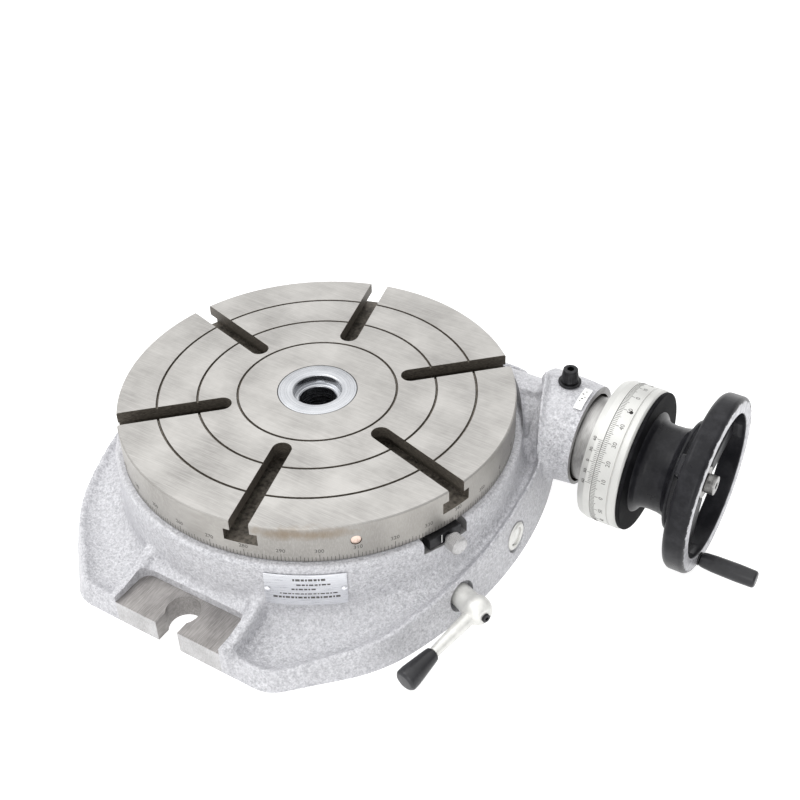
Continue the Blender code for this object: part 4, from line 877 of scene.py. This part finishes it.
def fitting_cutters():
    """Seats and holes for the clamp rod, oil sight, filler plug, sleeve lock screw and zero-mark block."""
    clamp = radial(CLAMP_ANGLE, CLAMP_Z)
    sight = along_x(0, SIGHT_Y, SIGHT_Z)
    plug = radial(pi, PLUG_Z)
    lock = at(*LOCK_PLACE, 0)
    index_recess = box_outline(120.5, -15.75, 145, 15.75)
    rows = (
        ("rod_cutter", circle(5.8, 32), 60, 150, RECESS_SHADE_IRON, clamp),
        ("rod_face_cutter", circle(9.8), 138.6, 170, PAINT, clamp),
        ("sight_cutter", circle(10.6), SIGHT_FACE, 160, PAINT, sight),
        ("sight_pocket_cutter", circle(8.3), 130, 150, RECESS_SHADE_IRON, sight),
        ("plug_face_cutter", circle(10), PLUG_FACE, 160, PAINT, plug),
        ("plug_hole_cutter", circle(5.8, 32), 124, 150, RECESS_SHADE_IRON, plug),
        ("screw_seat_cutter", circle(8.6), LOCK_SEAT, 95, FACE_IRON, lock),
        ("screw_hole_cutter", circle(3.3, 24), 60, 95, RECESS_SHADE_IRON, lock),
        ("index_cutter", index_recess, 46.5, 90, FACE_IRON, turned(INDEX_ANGLE)),
    )
    return [prism(*row) for row in rows]


def is_pad(centre, normal):
    """Whether a face of the casting is one of the bolting pads' floors."""
    return abs(centre.z - PAD_Z) < 0.01 and normal.z > 0.9 and abs(centre.y) > PAD_BACK_Y


def top_cutter():
    """Everything over the ring is turned away, and the ring's outer edge is rounded."""
    edge = 2.6
    beyond = RING_RADIUS + 0.4
    rounded = arc((RING_RADIUS - edge, RING_TOP - edge), edge, 0, pi / 2, 6)
    profile = [(0, FAR), (beyond, FAR), (beyond, RING_TOP - edge), *rounded, (0, RING_TOP)]
    return lathe("top_cutter", profile, PAINT, steps=180, soft=0)


def melt(obj):
    """Makes one closed skin of an object's overlapping shapes."""
    modifier = obj.modifiers.new("Melt", "REMESH")
    modifier.mode = "VOXEL"
    modifier.voxel_size = CASTING_GRID * MM
    bake(obj)


def cast_blank():
    """The rough shapes of the casting, melted together with rounded corners."""
    blanks = [deck_blank(), ridge_blank(), flange_blank(), boss_blank(), *lug_blanks()]
    bm = bmesh.new()
    for blank in blanks:
        bm.from_mesh(blank.data)
        bpy.data.objects.remove(blank, do_unlink=True)
    base = make("casting", bm, PAINT, TO_METRES.inverted())
    melt(base)
    carve(base, [valley_cutter()])
    melt(base)
    relax = base.modifiers.new("Relax", "SMOOTH")
    relax.factor = 0.5
    relax.iterations = 3
    bake(base)
    base.data.materials.clear()
    base.data.materials.append(PAINT)
    return base


def casting():
    """The melted blank, cut where the real casting is machined."""
    base = cast_blank()
    floor = prism("floor_cutter", box_outline(-FAR, -FAR, FAR, FAR), -20, 0, FACE_IRON)
    carve(base, [floor, top_cutter()])
    seat = [(0, 60.5), (117.9, 60.5), (117.9, 50), (0, 50)]
    carve(base, [lathe("seat", seat, RIM_STEEL, steps=180, soft=0)], "UNION")
    carve(base, [cavity_cutter(), *bore_cutters(), *fitting_cutters(), *pad_cutters()])
    repaint(base, PAD_IRON, is_pad)
    piece(even_normals(shaded(base, 38)), "base", "base_casting", slot="painted_cast_iron")


# ---------------------------------------------------------------- worktable


def tslot_cutters(index):
    """The throat and the wider foot of one T-slot, closed by a half round at the inner end."""
    made = []
    for name, half, low, high in (("throat", 6, -8.5, 5), ("foot", 10.25, -15.5, -7.5)):
        shape = arc((60, 0), half, pi / 2, pi, 14) + [(135, -half), (135, half)]
        turn = turned(TSLOT_FIRST + index * pi / 3)
        # The slot's walls and floor carry the near-black painted shade.
        made.append(prism(f"{name}_cutter", shape, TABLE_TOP + low, TABLE_TOP + high, RECESS_SHADE_IRON, turn))
    return made


def table_profile():
    """The turned outline of the worktable, from its bore over the top and down the rim."""
    top = [(25.3, TABLE_TOP)]
    for radius in GROOVE_RADII:
        half = 0.75
        top += [(radius - half, TABLE_TOP), (radius - 0.6 * half, TABLE_TOP - GROOVE_DEPTH)]
        top += [(radius + 0.6 * half, TABLE_TOP - GROOVE_DEPTH), (radius + half, TABLE_TOP)]
    rim = [
        (TABLE_RADIUS - 0.9, TABLE_TOP), (TABLE_RADIUS - 0.06, TABLE_TOP - 0.9),
        (TABLE_RADIUS - 0.06, TABLE_SKIRT + 0.5), (TABLE_RADIUS - 0.5, TABLE_SKIRT),
    ]
    under = [
        (118.6, TABLE_SKIRT), (118.6, 60.8), (74, 60.8), (74, 45.6), (30, 45.6), (30, 20), (12.5, 20),
        (12.5, 40.7), (25.3, 40.7),
    ]
    return top + rim + under


def in_groove(centre, normal):
    """Whether a face of the table is at the bottom of a scribed circle, where painted shade goes."""
    near = min(abs(centre.xy.length - groove) for groove in GROOVE_RADII)
    depth = TABLE_TOP - centre.z
    return near < 1 and 0.2 * GROOVE_DEPTH < depth < 1.1 * GROOVE_DEPTH


def worktable():
    """The ground table with its T-slots and the copper plug in its rim."""
    table = lathe("worktable_body", table_profile(), GROUND, steps=240, soft=0)
    plug_place = radial(RIM_PLUG_ANGLE, RIM_PLUG_Z)
    cutters = [cutter for index in range(6) for cutter in tslot_cutters(index)]
    cutters.append(prism("rim_plug_cutter", circle(3.3, 32), 118, 130, RECESS_SHADE_IRON, plug_place))
    carve(table, cutters)
    # The bottoms of the scribed circles get the painted shade of the recesses.
    repaint(table, RECESS_SHADE_IRON, in_groove)
    even_normals(bevel(shaded(table, 30), 0.25, 1, 60))
    piece(table, "table", "worktable", slot="ground_cast_iron")
    plug = [(0, 125), (1.6, 124.9), (3.2, 124.4), (3.2, 119), (0, 119)]
    piece(lathe("rim_plug_head", plug, COPPER, plug_place, 32), "table", "rim_plug", slot="copper_plug")


def degree_scale():
    """Lines each degree round the skirt, longer at 5 and 10, with numerals each 10 degrees."""
    foot = TABLE_SKIRT + 0.5
    lines = []
    numerals = []
    for degree in range(360):
        angle = SCALE_PHASE + radians(degree)
        lines.append((angle, foot, line_length(degree, 3.1, 4.1, 5.1)))
        if degree % 10 == 0:
            numerals.append((angle, foot + 7.7, str(degree)))
    meshes = scale_marks(ROUND_TABLE, TABLE_RADIUS - 0.05, lines, numerals, 0.34, 3.7)
    piece(joined("degree_scale", meshes, MARKS), "table")


def centre_sleeve():
    """The hardened sleeve in the table's bore, with a shallow step inside its top."""
    top = TABLE_TOP
    floor = top - 6
    profile = [
        (15.8, top), (24.9, top), (24.9, top - 40), (11.05, top - 40), (11.5, floor - 1),
        (12.4, floor), (15, floor), (15, top - 0.8),
    ]
    sleeve = lathe("centre_sleeve_ground", profile, SLEEVE_STEEL, steps=120)
    piece(sleeve, "table", "centre_sleeve", slot="hardened_steel")


# ---------------------------------------------------------------- worm head, dial and handwheel


def sleeve_head():
    """The eccentric sleeve with its bright head, bored for the worm and open towards the worm wheel."""
    profile = [(0, 161), (28.2, 161), (28.2, 121), (14.2, 121), (14.2, -62), (0, -62)]
    sleeve = lathe("sleeve_head", profile, BRIGHT_STEEL, SLEEVE)
    bore = [(0, 170), (20.3, 170), (20.3, 139.7), (10.4, 139.7), (10.4, -70), (0, -70)]
    window = [(0, 0), *arc((0, 0), 16.5, radians(150), radians(183), 24)]
    cutters = [lathe("bore_cutter", bore, BRIGHT_STEEL, WORM, 72, soft=0)]
    cutters.append(prism("window_cutter", window, -40, 40, BRIGHT_STEEL, SLEEVE))
    carve(sleeve, cutters)
    piece(even_normals(shaded(sleeve, 38)), "eccentric", "eccentric_sleeve", slot="bright_steel")


def vernier():
    """The fixed ring beside the dial, with a short scale numbered both ways from zero."""
    front = 170.3
    rear = 161.4
    surface = DIAL_RADIUS - 0.05
    profile = [
        (11, front - 1), (40, front - 1), (40, front), (surface, front), (surface, rear + 4.5),
        (DIAL_RADIUS - 1.6, rear), (42, rear), (40, 164), (31, 164), (31, 161.3), (11, 161.3),
    ]
    ring = even_normals(lathe("vernier_body", profile, CHROME, WORM, 120))
    piece(ring, "eccentric", "vernier_ring", slot="satin_chrome")
    lines = []
    numerals = []
    for step in range(-12, 13):
        angle = VERNIER_ANGLE + VERNIER_STEP * step
        lines.append((angle, 0.25 - front, 2.2 if step % 6 else 3.6))
        if step % 6 == 0:
            numerals.append((angle, 5.4 - front, str(5 * abs(step))))
    meshes = scale_marks(ROUND_WORM, surface + 0.01, lines, numerals, 0.28, 2.9)
    piece(joined("vernier_marks", meshes, MARKS), "eccentric")


def dial():
    """The graduated drum: a line each minute, longer each five and ten, numbered each ten."""
    rear = 170.6
    front = 187.2
    groove = 181.8
    surface = DIAL_RADIUS - 0.05
    profile = [
        (20.4, front - 2.8), (43, front - 2.8), (43, front), (surface - 1.1, front),
        (surface, front - 1.3), (surface, groove + 0.55), (surface - 0.6, groove + 0.2),
        (surface - 0.6, groove - 0.2), (surface, groove - 0.55), (surface, rear), (41, rear),
        (41, 173.5), (20.4, 173.5),
    ]
    body = lathe("dial_drum", profile, CHROME, WORM, 160, soft=0.15)
    sideways = WORM @ at(0, 0, 179) @ turned(radians(196)) @ Matrix.Rotation(pi / 2, 4, "Y")
    carve(body, [prism("lock_hole_cutter", circle(1.2, 24), 18, 60, RECESS_SHADE_IRON, sideways)])
    piece(even_normals(shaded(body)), "dial", "dial_ring", slot="satin_chrome")
    lines = []
    numerals = []
    for minute in range(240):
        angle = radians(1.5 * minute)
        lines.append((angle, -rear - 0.25, -line_length(minute, 2.8, 3.8, 4.9)))
        if minute % 10 == 0:
            numerals.append((angle, -rear - 7.3, str(minute % 60)))
    meshes = scale_marks(ROUND_WORM, surface + 0.01, lines, numerals, 0.32, 3.9)
    piece(joined("dial_marks", meshes, MARKS), "dial")


def wheel_parts():
    """The handwheel's flange, in a darker and duller copy of the black enamel as painted shade, its rim and
    its three spokes.
    """
    rim = [(47.5, RIM_FRONT_X), (56.4, RIM_FRONT_X), (WHEEL_RIM_RADIUS, 234), (WHEEL_RIM_RADIUS, 224.4)]
    rim += [(56, 222), (48.5, 222), (47.5, 223)]
    flange = [
        (19, 190), (45.4, 190), (45.9, 189.4), (45.9, 187.5), (42.6, 187.5), (42.6, 184.7), (19, 184.7),
    ]
    parts = [lathe("flange_part", flange, FLANGE_SHADE_BLACK, WORM, 120)]
    parts.append(lathe("rim_part", rim, BLACK, WORM, 160, soft=1.6))
    for index in range(3):
        turn = WORM @ turned(CRANK_ANGLE + index * 2 * pi / 3)
        spoke = prism("spoke_part", box_outline(12, -7, 50.5, 7), 217.5, 227.5, BLACK, turn)
        bake(bevel(spoke, 2.2, 3))
        parts.append(spoke)
    return parts


def handwheel():
    """Black enamelled wheel: hub and waisted neck, joined to the flange, rim and spokes."""
    hub = [
        (8.3, 226), (18.5, 226), (18.5, 219), (34, 217.6), (36.3, 215.5), (36, 213.7), (32, 212.4),
        (29.2, 210), (28.2, 206), (27.9, 200), (28.2, 195.6), (29.6, 192.6), (32.4, 191.1),
        (33.4, 190.2), (33.4, 186), (20, 186), (20, 171), (8.3, 171),
    ]
    wheel = lathe("handwheel_body", hub, BLACK, WORM, 120, soft=0.9)
    carve(wheel, wheel_parts(), "UNION")
    pin_hole = prism("pin_cutter", circle(3.3, 24), 215, 240, BLACK, CRANK)
    keyway_plan = box_outline(160, -2.8, 213, 2.8)
    keyway = prism("keyway_cutter", keyway_plan, 0, 10.6, BLACK, at(0, WORM_Y, WORM_Z))
    carve(wheel, [pin_hole, keyway])
    piece(even_normals(shaded(wheel)), "worm", "handwheel", slot="black_enamel")


def crank():
    """The turned pin and the moulded grip that spins on it."""
    start = 237.4
    end = 273.4
    pin = [
        (0, end - 4), (2.6, end - 4), (2.6, 237.1), (4.6, 237.1), (4.6, 236.3), (3, 236.3),
        (3, 223.5), (0, 223.5),
    ]
    turned_piece("crank_pin_turned", pin, OXIDE, CRANK, 32, "worm", "crank_pin", "black_oxide")
    grip = [
        (0, end), (4.6, end), (5.6, end - 1.2), (5.85, end - 12), (5.6, start + 9),
        (5, start + 2), (4.4, start), (3, start), (3, end - 3.5), (0, end - 3.5),
    ]
    turned_piece(
        "crank_grip_moulded", grip, PLASTIC, CRANK, 48, "crank_handle", "crank_grip", "black_plastic", 0.8
    )


def screw_head(radius, height, knurled):
    """The side of a screw's head from its top down; a knurled one tapers."""
    if not knurled:
        return [(radius, height), (radius, 0)]
    return [(radius * (1.06 - 0.2 * share), share * height) for share in (1, 0.85, 0.5, 0.13, 0)]


def knurl(inner, low, high, depth):
    """A ripple for lathe(): two steps in four are sunk, outside a radius and between two heights."""

    def ripple(radius, height, step):
        sunk = step % 4 < 2 and radius > inner and low < height < high
        return radius - depth if sunk else radius

    return ripple


def socket_screw(name, node, body, place, shank, head, finish, slot, ridges=0):
    """A socket-head cap screw, with its head on local +Z; shank and head are (radius, length)."""
    radius, length = shank
    head_radius, height = head
    side = screw_head(head_radius, height, ridges > 0)
    profile = [(0, height), *side, (radius, 0), (radius, -length), (0, -length)]
    ripple = knurl(0.8 * head_radius, 0.12 * height, 0.86 * height, 0.03 * head_radius) if ridges else None
    screw = lathe(name, profile, finish, place, 4 * ridges or 48, soft=0.08 * height, ripple=ripple)
    socket = prism("socket_cutter", hexagon(1.45 * radius), 0.4 * height, height + 1, finish, place)
    carve(screw, [socket])
    piece(shaded(screw, 35), body, node, slot=slot)


def worm_fittings():
    """The handwheel's bolt and washer, and the sleeve's knurled lock screw and washer."""
    seat = 226.3
    washer = [(4.3, seat + 2), (10.5, seat + 2), (10.5, seat), (4.3, seat)]
    turned_piece(
        "handwheel_washer_turned", washer, BRIGHT_STEEL, WORM, 64, "worm", "handwheel_washer", "bright_steel"
    )
    place = WORM @ at(0, 0, seat + 2.3)
    sizes = (3, 30), (6.3, 6)
    socket_screw("handwheel_bolt", "handwheel_screw", "worm", place, *sizes, BRIGHT_STEEL, "bright_steel")
    place = at(*LOCK_PLACE, LOCK_SEAT)
    washer = [(3.3, 1.9), (7.3, 1.9), (7.3, 0.3), (3.3, 0.3)]
    turned_piece("lock_washer_turned", washer, OXIDE, place, 64, "base", "lock_washer", "dark_steel")
    place = place @ at(0, 0, 2.2)
    sizes = (3, 6.5), (5.4, 8.85)
    socket_screw("lock_bolt", "lock_screw", "sleeve_lock", place, *sizes, OXIDE, "black_oxide", 24)


# ---------------------------------------------------------------- clamp lever


def lever_frame(hub):
    """Local Z along the lever's arm, from the hub's centre."""
    outward = (hub.to_3x3() @ Z).normalized()
    forward = outward.cross(Z).normalized()
    in_plane = forward * cos(LEVER_DROP) - Z * sin(LEVER_DROP)
    arm = (in_plane * cos(LEVER_OUT) + outward * sin(LEVER_OUT)).normalized()
    side = arm.cross(outward).normalized()
    turn = Matrix((side, arm.cross(side), arm)).transposed().to_4x4()
    return Matrix.Translation(hub.translation) @ turn


def clamp_lever():
    """The ball hub with its neck and tapered arm, its screw and its plastic grip."""
    hub = radial(CLAMP_ANGLE, CLAMP_Z) @ at(0, 0, HUB_DISTANCE)
    arm = lever_frame(hub)
    ball = [(9 * sin(pi * k / 36), 9 * cos(pi * k / 36)) for k in range(1, 36)]
    lever = lathe("lever_body", [(0, 9), *ball, (0, -9)], ZINC, hub, 64, soft=0)
    neck = [(0, -2), (7.6, -2), (7.2, -9), (7.2, -17), (0, -17)]
    rod = [(0, 55), (2.2, 55), (2.2, 38), (3.2, 38), (4.2, 14), (4.6, 3), (0, 3)]
    carve(lever, [lathe("neck_part", neck, ZINC, hub, 64), lathe("arm_part", rod, ZINC, arm, 48)], "UNION")
    cutters = [prism("flat_cutter", circle(12), 7.2, 20, ZINC, hub)]
    cutters.append(prism("hub_bore_cutter", circle(5.3), -28, -1.7, RECESS_SHADE_IRON, hub))
    cutters.append(prism("hub_screw_cutter", circle(1.9, 24), -0.5, 20, RECESS_SHADE_IRON, hub))
    carve(lever, cutters)
    piece(bevel(shaded(lever, 40), 0.3, 2, 40), "clamp", "clamp_lever", slot="zinc_plated_steel")
    sizes = (1.6, 7), (2.7, 1.45)
    place = hub @ at(0, 0, 7.5)
    socket_screw("lever_bolt", "lever_screw", "clamp", place, *sizes, OXIDE, "black_oxide")
    end = LEVER_LENGTH
    grip = [
        (0, end), (5.6, end), (7, end - 1.6), (6.9, end - 6), (5.7, end - 15), (4.8, 41),
        (4.3, 38.6), (2.5, 38.6), (2.5, 55.3), (0, 55.3),
    ]
    turned_piece(
        "lever_grip_moulded", grip, PLASTIC, arm, 48, "clamp", "lever_grip", "black_plastic", 0.9
    )


# ---------------------------------------------------------------- small fittings on the base


def curved_plate(name, inner, thickness, half_angle, heights, finish, around, angle, soft):
    """A thin plate bent round an axis, between two heights and half an angle to each side."""
    half = half_angle * inner
    mesh = strip_mesh(-half, heights[0], half, heights[1], thickness / 2, 24)
    wrapped(mesh, around, inner + thickness / 2, angle, 0)
    return bevel(joined(name, [mesh], finish), soft, 2, 50)


def plate_lines(face):
    """Rows of short bars (start, end, height, tall) in place of a plate's wording."""
    rows = [(-7, 11, 45.6, 1.7), (-5, 13, 41.9, 1.2), (-8, 6, 38.4, 1.2)]
    rows += [(-15, 17, 34.9, 0.9), (-19, 19, 31.6, 1.5)]
    meshes = []
    for row, (x, end, height, tall) in enumerate(rows):
        count = row
        while x < end:
            wide = 1.1 + 0.7 * (count * 5 % 3)
            mark = strip_mesh(x, 0, x + wide, tall, 0.03, 2)
            meshes.append(wrapped(mark, ROUND_TABLE, face, PLATE_ANGLE, height))
            x += wide + 0.6
            count += 1
    piece(joined("plate_lines", meshes, MARKS), "base")


def name_plate():
    """A plain aluminium plate with rows of short bars and two domed rivets."""
    inner = RING_RADIUS + 0.3
    thickness = 0.8
    half_angle = 47.5 / 2 / RING_RADIUS
    sizes = inner, thickness, half_angle, (26, 50)
    plate = curved_plate("plate_body", *sizes, PLATE, ROUND_TABLE, PLATE_ANGLE, 0.2)
    piece(plate, "base", "name_plate", slot="aluminium")
    face = inner + thickness
    plate_lines(face)
    head = [(0, 0.9), (1, 0.8), (1.7, 0.4), (2, 0), (1, 0), (1, -6), (0, -6)]
    for index, side in ((1, -1), (2, 1)):
        place = radial(PLATE_ANGLE + side * half_angle * 0.92, 38) @ at(0, 0, face + 0.3)
        rivet = lathe(f"plate_rivet_{index}", head, PLATE, place, 32, soft=0)
        piece(rivet, "base", f"name_plate_rivet_{index}", slot="aluminium")


def index_fittings():
    """The zero-mark block with its white line, and the knurled screw beside it."""
    place = radial(KNOB_ANGLE, KNOB_Z)
    plan = box_outline(120.8, -11.5, 128.3, 11.5)
    block = prism("zero_block", plan, 46.8, 54.6, OXIDE, turned(INDEX_ANGLE))
    carve(block, [prism("block_cutter", circle(2.1, 24), 122, 140, OXIDE, place)])
    piece(bevel(block, 0.5, 2, 40), "base", "index_block", slot="black_oxide")
    line = strip_mesh(-0.3, 0, 0.3, 6, MARK_PROUD)
    wrapped(line, ROUND_TABLE, 128.36, INDEX_ANGLE - radians(1.2), 48)
    piece(joined("zero_line", [line], WHITE), "base")
    knob = [
        (0, 139.5), (4.6, 139.5), (5.6, 138.7), (5.6, 138.3), (5.6, 132), (5.6, 131.6), (4.8, 131),
        (3, 131), (3, 129.2), (1.8, 129.2), (1.8, 122.5), (0, 122.5),
    ]
    ripple = knurl(5.2, 131.9, 138.5, 0.35)
    turned_piece(
        "knurled_knob", knob, FACE_IRON, place, 112, "index_screw", "index_knob", "bright_steel", 0.1, ripple
    )


def oil_sight():
    """The sight glass in its bezel, over a white reflector."""
    place = along_x(0, SIGHT_Y, SIGHT_Z)
    face = SIGHT_FACE
    bezel = [
        (6, face + 1.6), (6.9, face + 2), (8.5, face + 2), (9.5, face + 1), (9.5, face + 0.3),
        (8, face + 0.3), (8, 131), (6, 131),
    ]
    turned_piece("sight_bezel", bezel, ZINC, place, 64, "base", "oil_sight_bezel", "bright_steel")
    lens = [(0, face + 1.3), (3, face + 1.15), (5.7, face + 0.7), (5.7, 132), (0, 132)]
    turned_piece("sight_lens", lens, GLASS, place, 48, "base", "oil_sight_glass", "oil_glass", soft=0)
    back = [(0, 131.6), (5.6, 131.6), (5.6, 131), (0, 131)]
    piece(lathe("sight_reflector", back, WHITE, place, 32, soft=0), "base")


def boss_label():
    """A small white label bent over the boss, with a few plain dots in place of its wording."""
    around = (Vector((0, WORM_Y, 41)), -X, Z, Y)
    middle = radians(-12)
    sizes = 34.3, 0.4, radians(15), (-147.5, -142)
    label = curved_plate("boss_label_plate", *sizes, WHITE, around, middle, 0.1)
    piece(label, "base", "boss_label", slot="white_enamel")
    radius = 34.72
    meshes = []
    for row, across in enumerate((-3.4, -1.2, 0.4, 2.6, 5.2)):
        mark = strip_mesh(0, 0, 0.9, 0.8 + 0.5 * (row % 2), 0.03)
        meshes.append(wrapped(mark, around, radius, middle + across / radius, -144.2 - 0.9 * (row % 3)))
    piece(joined("boss_label_marks", meshes, MARKS), "base")


def filler_plug():
    """A flanged plug with a hexagonal head."""
    place = radial(pi, PLUG_Z)
    face = PLUG_FACE
    profile = [(0, face + 2.3), (8.5, face + 2.3), (8.5, face + 0.3), (5.5, face + 0.3)]
    profile += [(5.5, 125), (0, 125)]
    plug = lathe("filler_plug_turned", profile, DARK, place, 48)
    carve(plug, [prism("head_part", hexagon(13), face + 1, face + 3.9, DARK, place)], "UNION")
    piece(bevel(plug, 0.3, 2, 40), "base", "oil_filler_plug", slot="dark_steel")


def bottom_cover():
    """The sheet disc under the base, sunk for four countersunk screws."""
    profile = [(0, 4), (79.6, 4), (79.6, 0.7), (0, 0.7)]
    cover = lathe("cover_disc", profile, SHEET, steps=128)
    sink = [(0, 5), (4.1, 5), (4.1, -0.6), (2.3, -2.4), (2.3, -9), (0, -9)]
    sinks = []
    for index in range(4):
        place = turned(radians(45 + 90 * index)) @ at(75, 0, 0.8) @ Matrix.Rotation(pi, 4, "X")
        sinks.append(lathe("sink_cutter", sink, SHEET, place, 32, soft=0))
    carve(cover, sinks)
    piece(shaded(cover, 35), "base", "bottom_cover", slot="sheet_steel")


CAD_FINISHES = {
    DARK: ("bearing_retainer", "clamp_rod", "handwheel_key", "vernier_screw_1", "vernier_screw_2"),
    OXIDE: ("dial_lock_screw",),
    SLEEVE_STEEL: ("worm_ball_bearing", "clamp_disc"),
    BRONZE: ("clamp_shoe", "worm_front_bush", "worm_rear_bush", "worm_wheel"),
    BRIGHT_STEEL: ("worm_shaft",),
}


def finish_cad_nodes():
    """Gives the CAD nodes that stay in view their detailed materials."""
    for finish, names in CAD_FINISHES.items():
        for name in names:
            frame["nodes"][name].data.materials[0] = finish
    for name, node in frame["nodes"].items():
        if name.startswith(("wheel_screw", "disc_screw")):
            node.data.materials[0] = OXIDE
        if name.startswith("cover_screw"):
            node.data.materials[0] = DARK


# ---------------------------------------------------------------- stage, light and camera


def stage():
    """A white floor that glows a little, and a low block of the same that only the base stands on."""
    s = Shader("white floor", (0.45, 0.45, 0.45), 0.8, 0.0)
    cloud = s.noise(3, 3)
    s.set("Emission Color", (1, 1, 1, 1))
    s.set("Emission Strength", 0.8)
    finish = s.finish(s.mix(s.remap(cloud, 0.3, 0.7, 0, 1), (0.44, 0.44, 0.44), (0.46, 0.46, 0.46)))
    floor = prism("floor", box_outline(-30000, -30000, 30000, 30000), -34, -26, finish)
    block = prism("stand", box_outline(-600, -600, 160, 600), -25, 0, finish)


def area_light(name, position, target, size, watts):
    """A rectangular lamp that faces a target."""
    data = bpy.data.lights.new(name, "AREA")
    data.shape = "RECTANGLE"
    data.size = size[0]
    data.size_y = size[1]
    data.energy = watts
    obj = bpy.data.objects.new(name, data)
    bpy.context.scene.collection.objects.link(obj)
    obj.location = position
    obj.rotation_mode = "QUATERNION"
    obj.rotation_quaternion = (Vector(target) - Vector(position)).to_track_quat("-Z", "Y")


def world_ramp(tree, value, ends, results, smooth="LINEAR"):
    """Takes a value between two ends to a value between two results."""
    ramp = tree.nodes.new("ShaderNodeMapRange")
    ramp.interpolation_type = smooth
    tree.links.new(value, ramp.inputs["Value"])
    for name, number in zip(("From Min", "From Max", "To Min", "To Max"), (*ends, *results)):
        ramp.inputs[name].default_value = number
    return ramp.outputs["Result"]


def world():
    """A soft studio: bright overhead and beyond the left, dim at the right, with a pale horizon."""
    made = bpy.data.worlds.new("studio")
    bpy.context.scene.world = made
    made.use_nodes = True
    tree = made.node_tree
    direction = tree.nodes.new("ShaderNodeTexCoord")
    split = tree.nodes.new("ShaderNodeSeparateXYZ")
    tree.links.new(direction.outputs["Generated"], split.inputs["Vector"])
    product = tree.nodes.new("ShaderNodeMath")
    product.operation = "MULTIPLY_ADD"
    overhead = world_ramp(tree, split.outputs["Z"], (0.1, 1.0), (0.38, 1.6), "SMOOTHSTEP")
    sideways = world_ramp(tree, split.outputs["X"], (-0.7, 0.9), (1.42, 0.76), "SMOOTHSTEP")
    horizon = world_ramp(tree, split.outputs["Z"], (0.12, 0.24), (0.85, 0.0))
    for output, socket in zip((overhead, sideways, horizon), product.inputs):
        tree.links.new(output, socket)
    background = tree.nodes["Background"]
    background.inputs["Color"].default_value = (1, 1, 1, 1)
    tree.links.new(product.outputs["Value"], background.inputs["Strength"])


def lights():
    """Two soft lamps, on the left and in front, besides the world's light."""
    world()
    area_light("key", (-0.8, -0.3, 1.3), (0.03, 0, 0.05), (0.8, 0.8), 4.5)
    area_light("front", (0.5, -1.2, 0.6), (0.05, 0, 0.03), (0.8, 0.6), 4.5)
    bpy.context.scene.view_settings.view_transform = "Standard"


def camera():
    """Looks down at the table, slightly rolled."""
    data = bpy.data.cameras.new("camera")
    data.lens = CAMERA_LENS
    data.sensor_width = 36
    obj = bpy.data.objects.new("camera", data)
    bpy.context.scene.collection.objects.link(obj)
    forward = (CAMERA_TARGET - CAMERA_PLACE).normalized()
    right = forward.cross(Z).normalized()
    up = right.cross(forward)
    rolled_right = right * cos(CAMERA_ROLL) + up * sin(CAMERA_ROLL)
    rolled_up = up * cos(CAMERA_ROLL) - right * sin(CAMERA_ROLL)
    turn = Matrix((rolled_right, rolled_up, -forward)).transposed().to_4x4()
    obj.matrix_world = Matrix.Translation(CAMERA_PLACE) @ turn
    bpy.context.scene.camera = obj


# ---------------------------------------------------------------- assembly


casting()
worktable()
degree_scale()
centre_sleeve()
sleeve_head()
vernier()
dial()
handwheel()
crank()
worm_fittings()
clamp_lever()
name_plate()
index_fittings()
oil_sight()
boss_label()
filler_plug()
bottom_cover()
finish_cad_nodes()
stage()
lights()
camera()
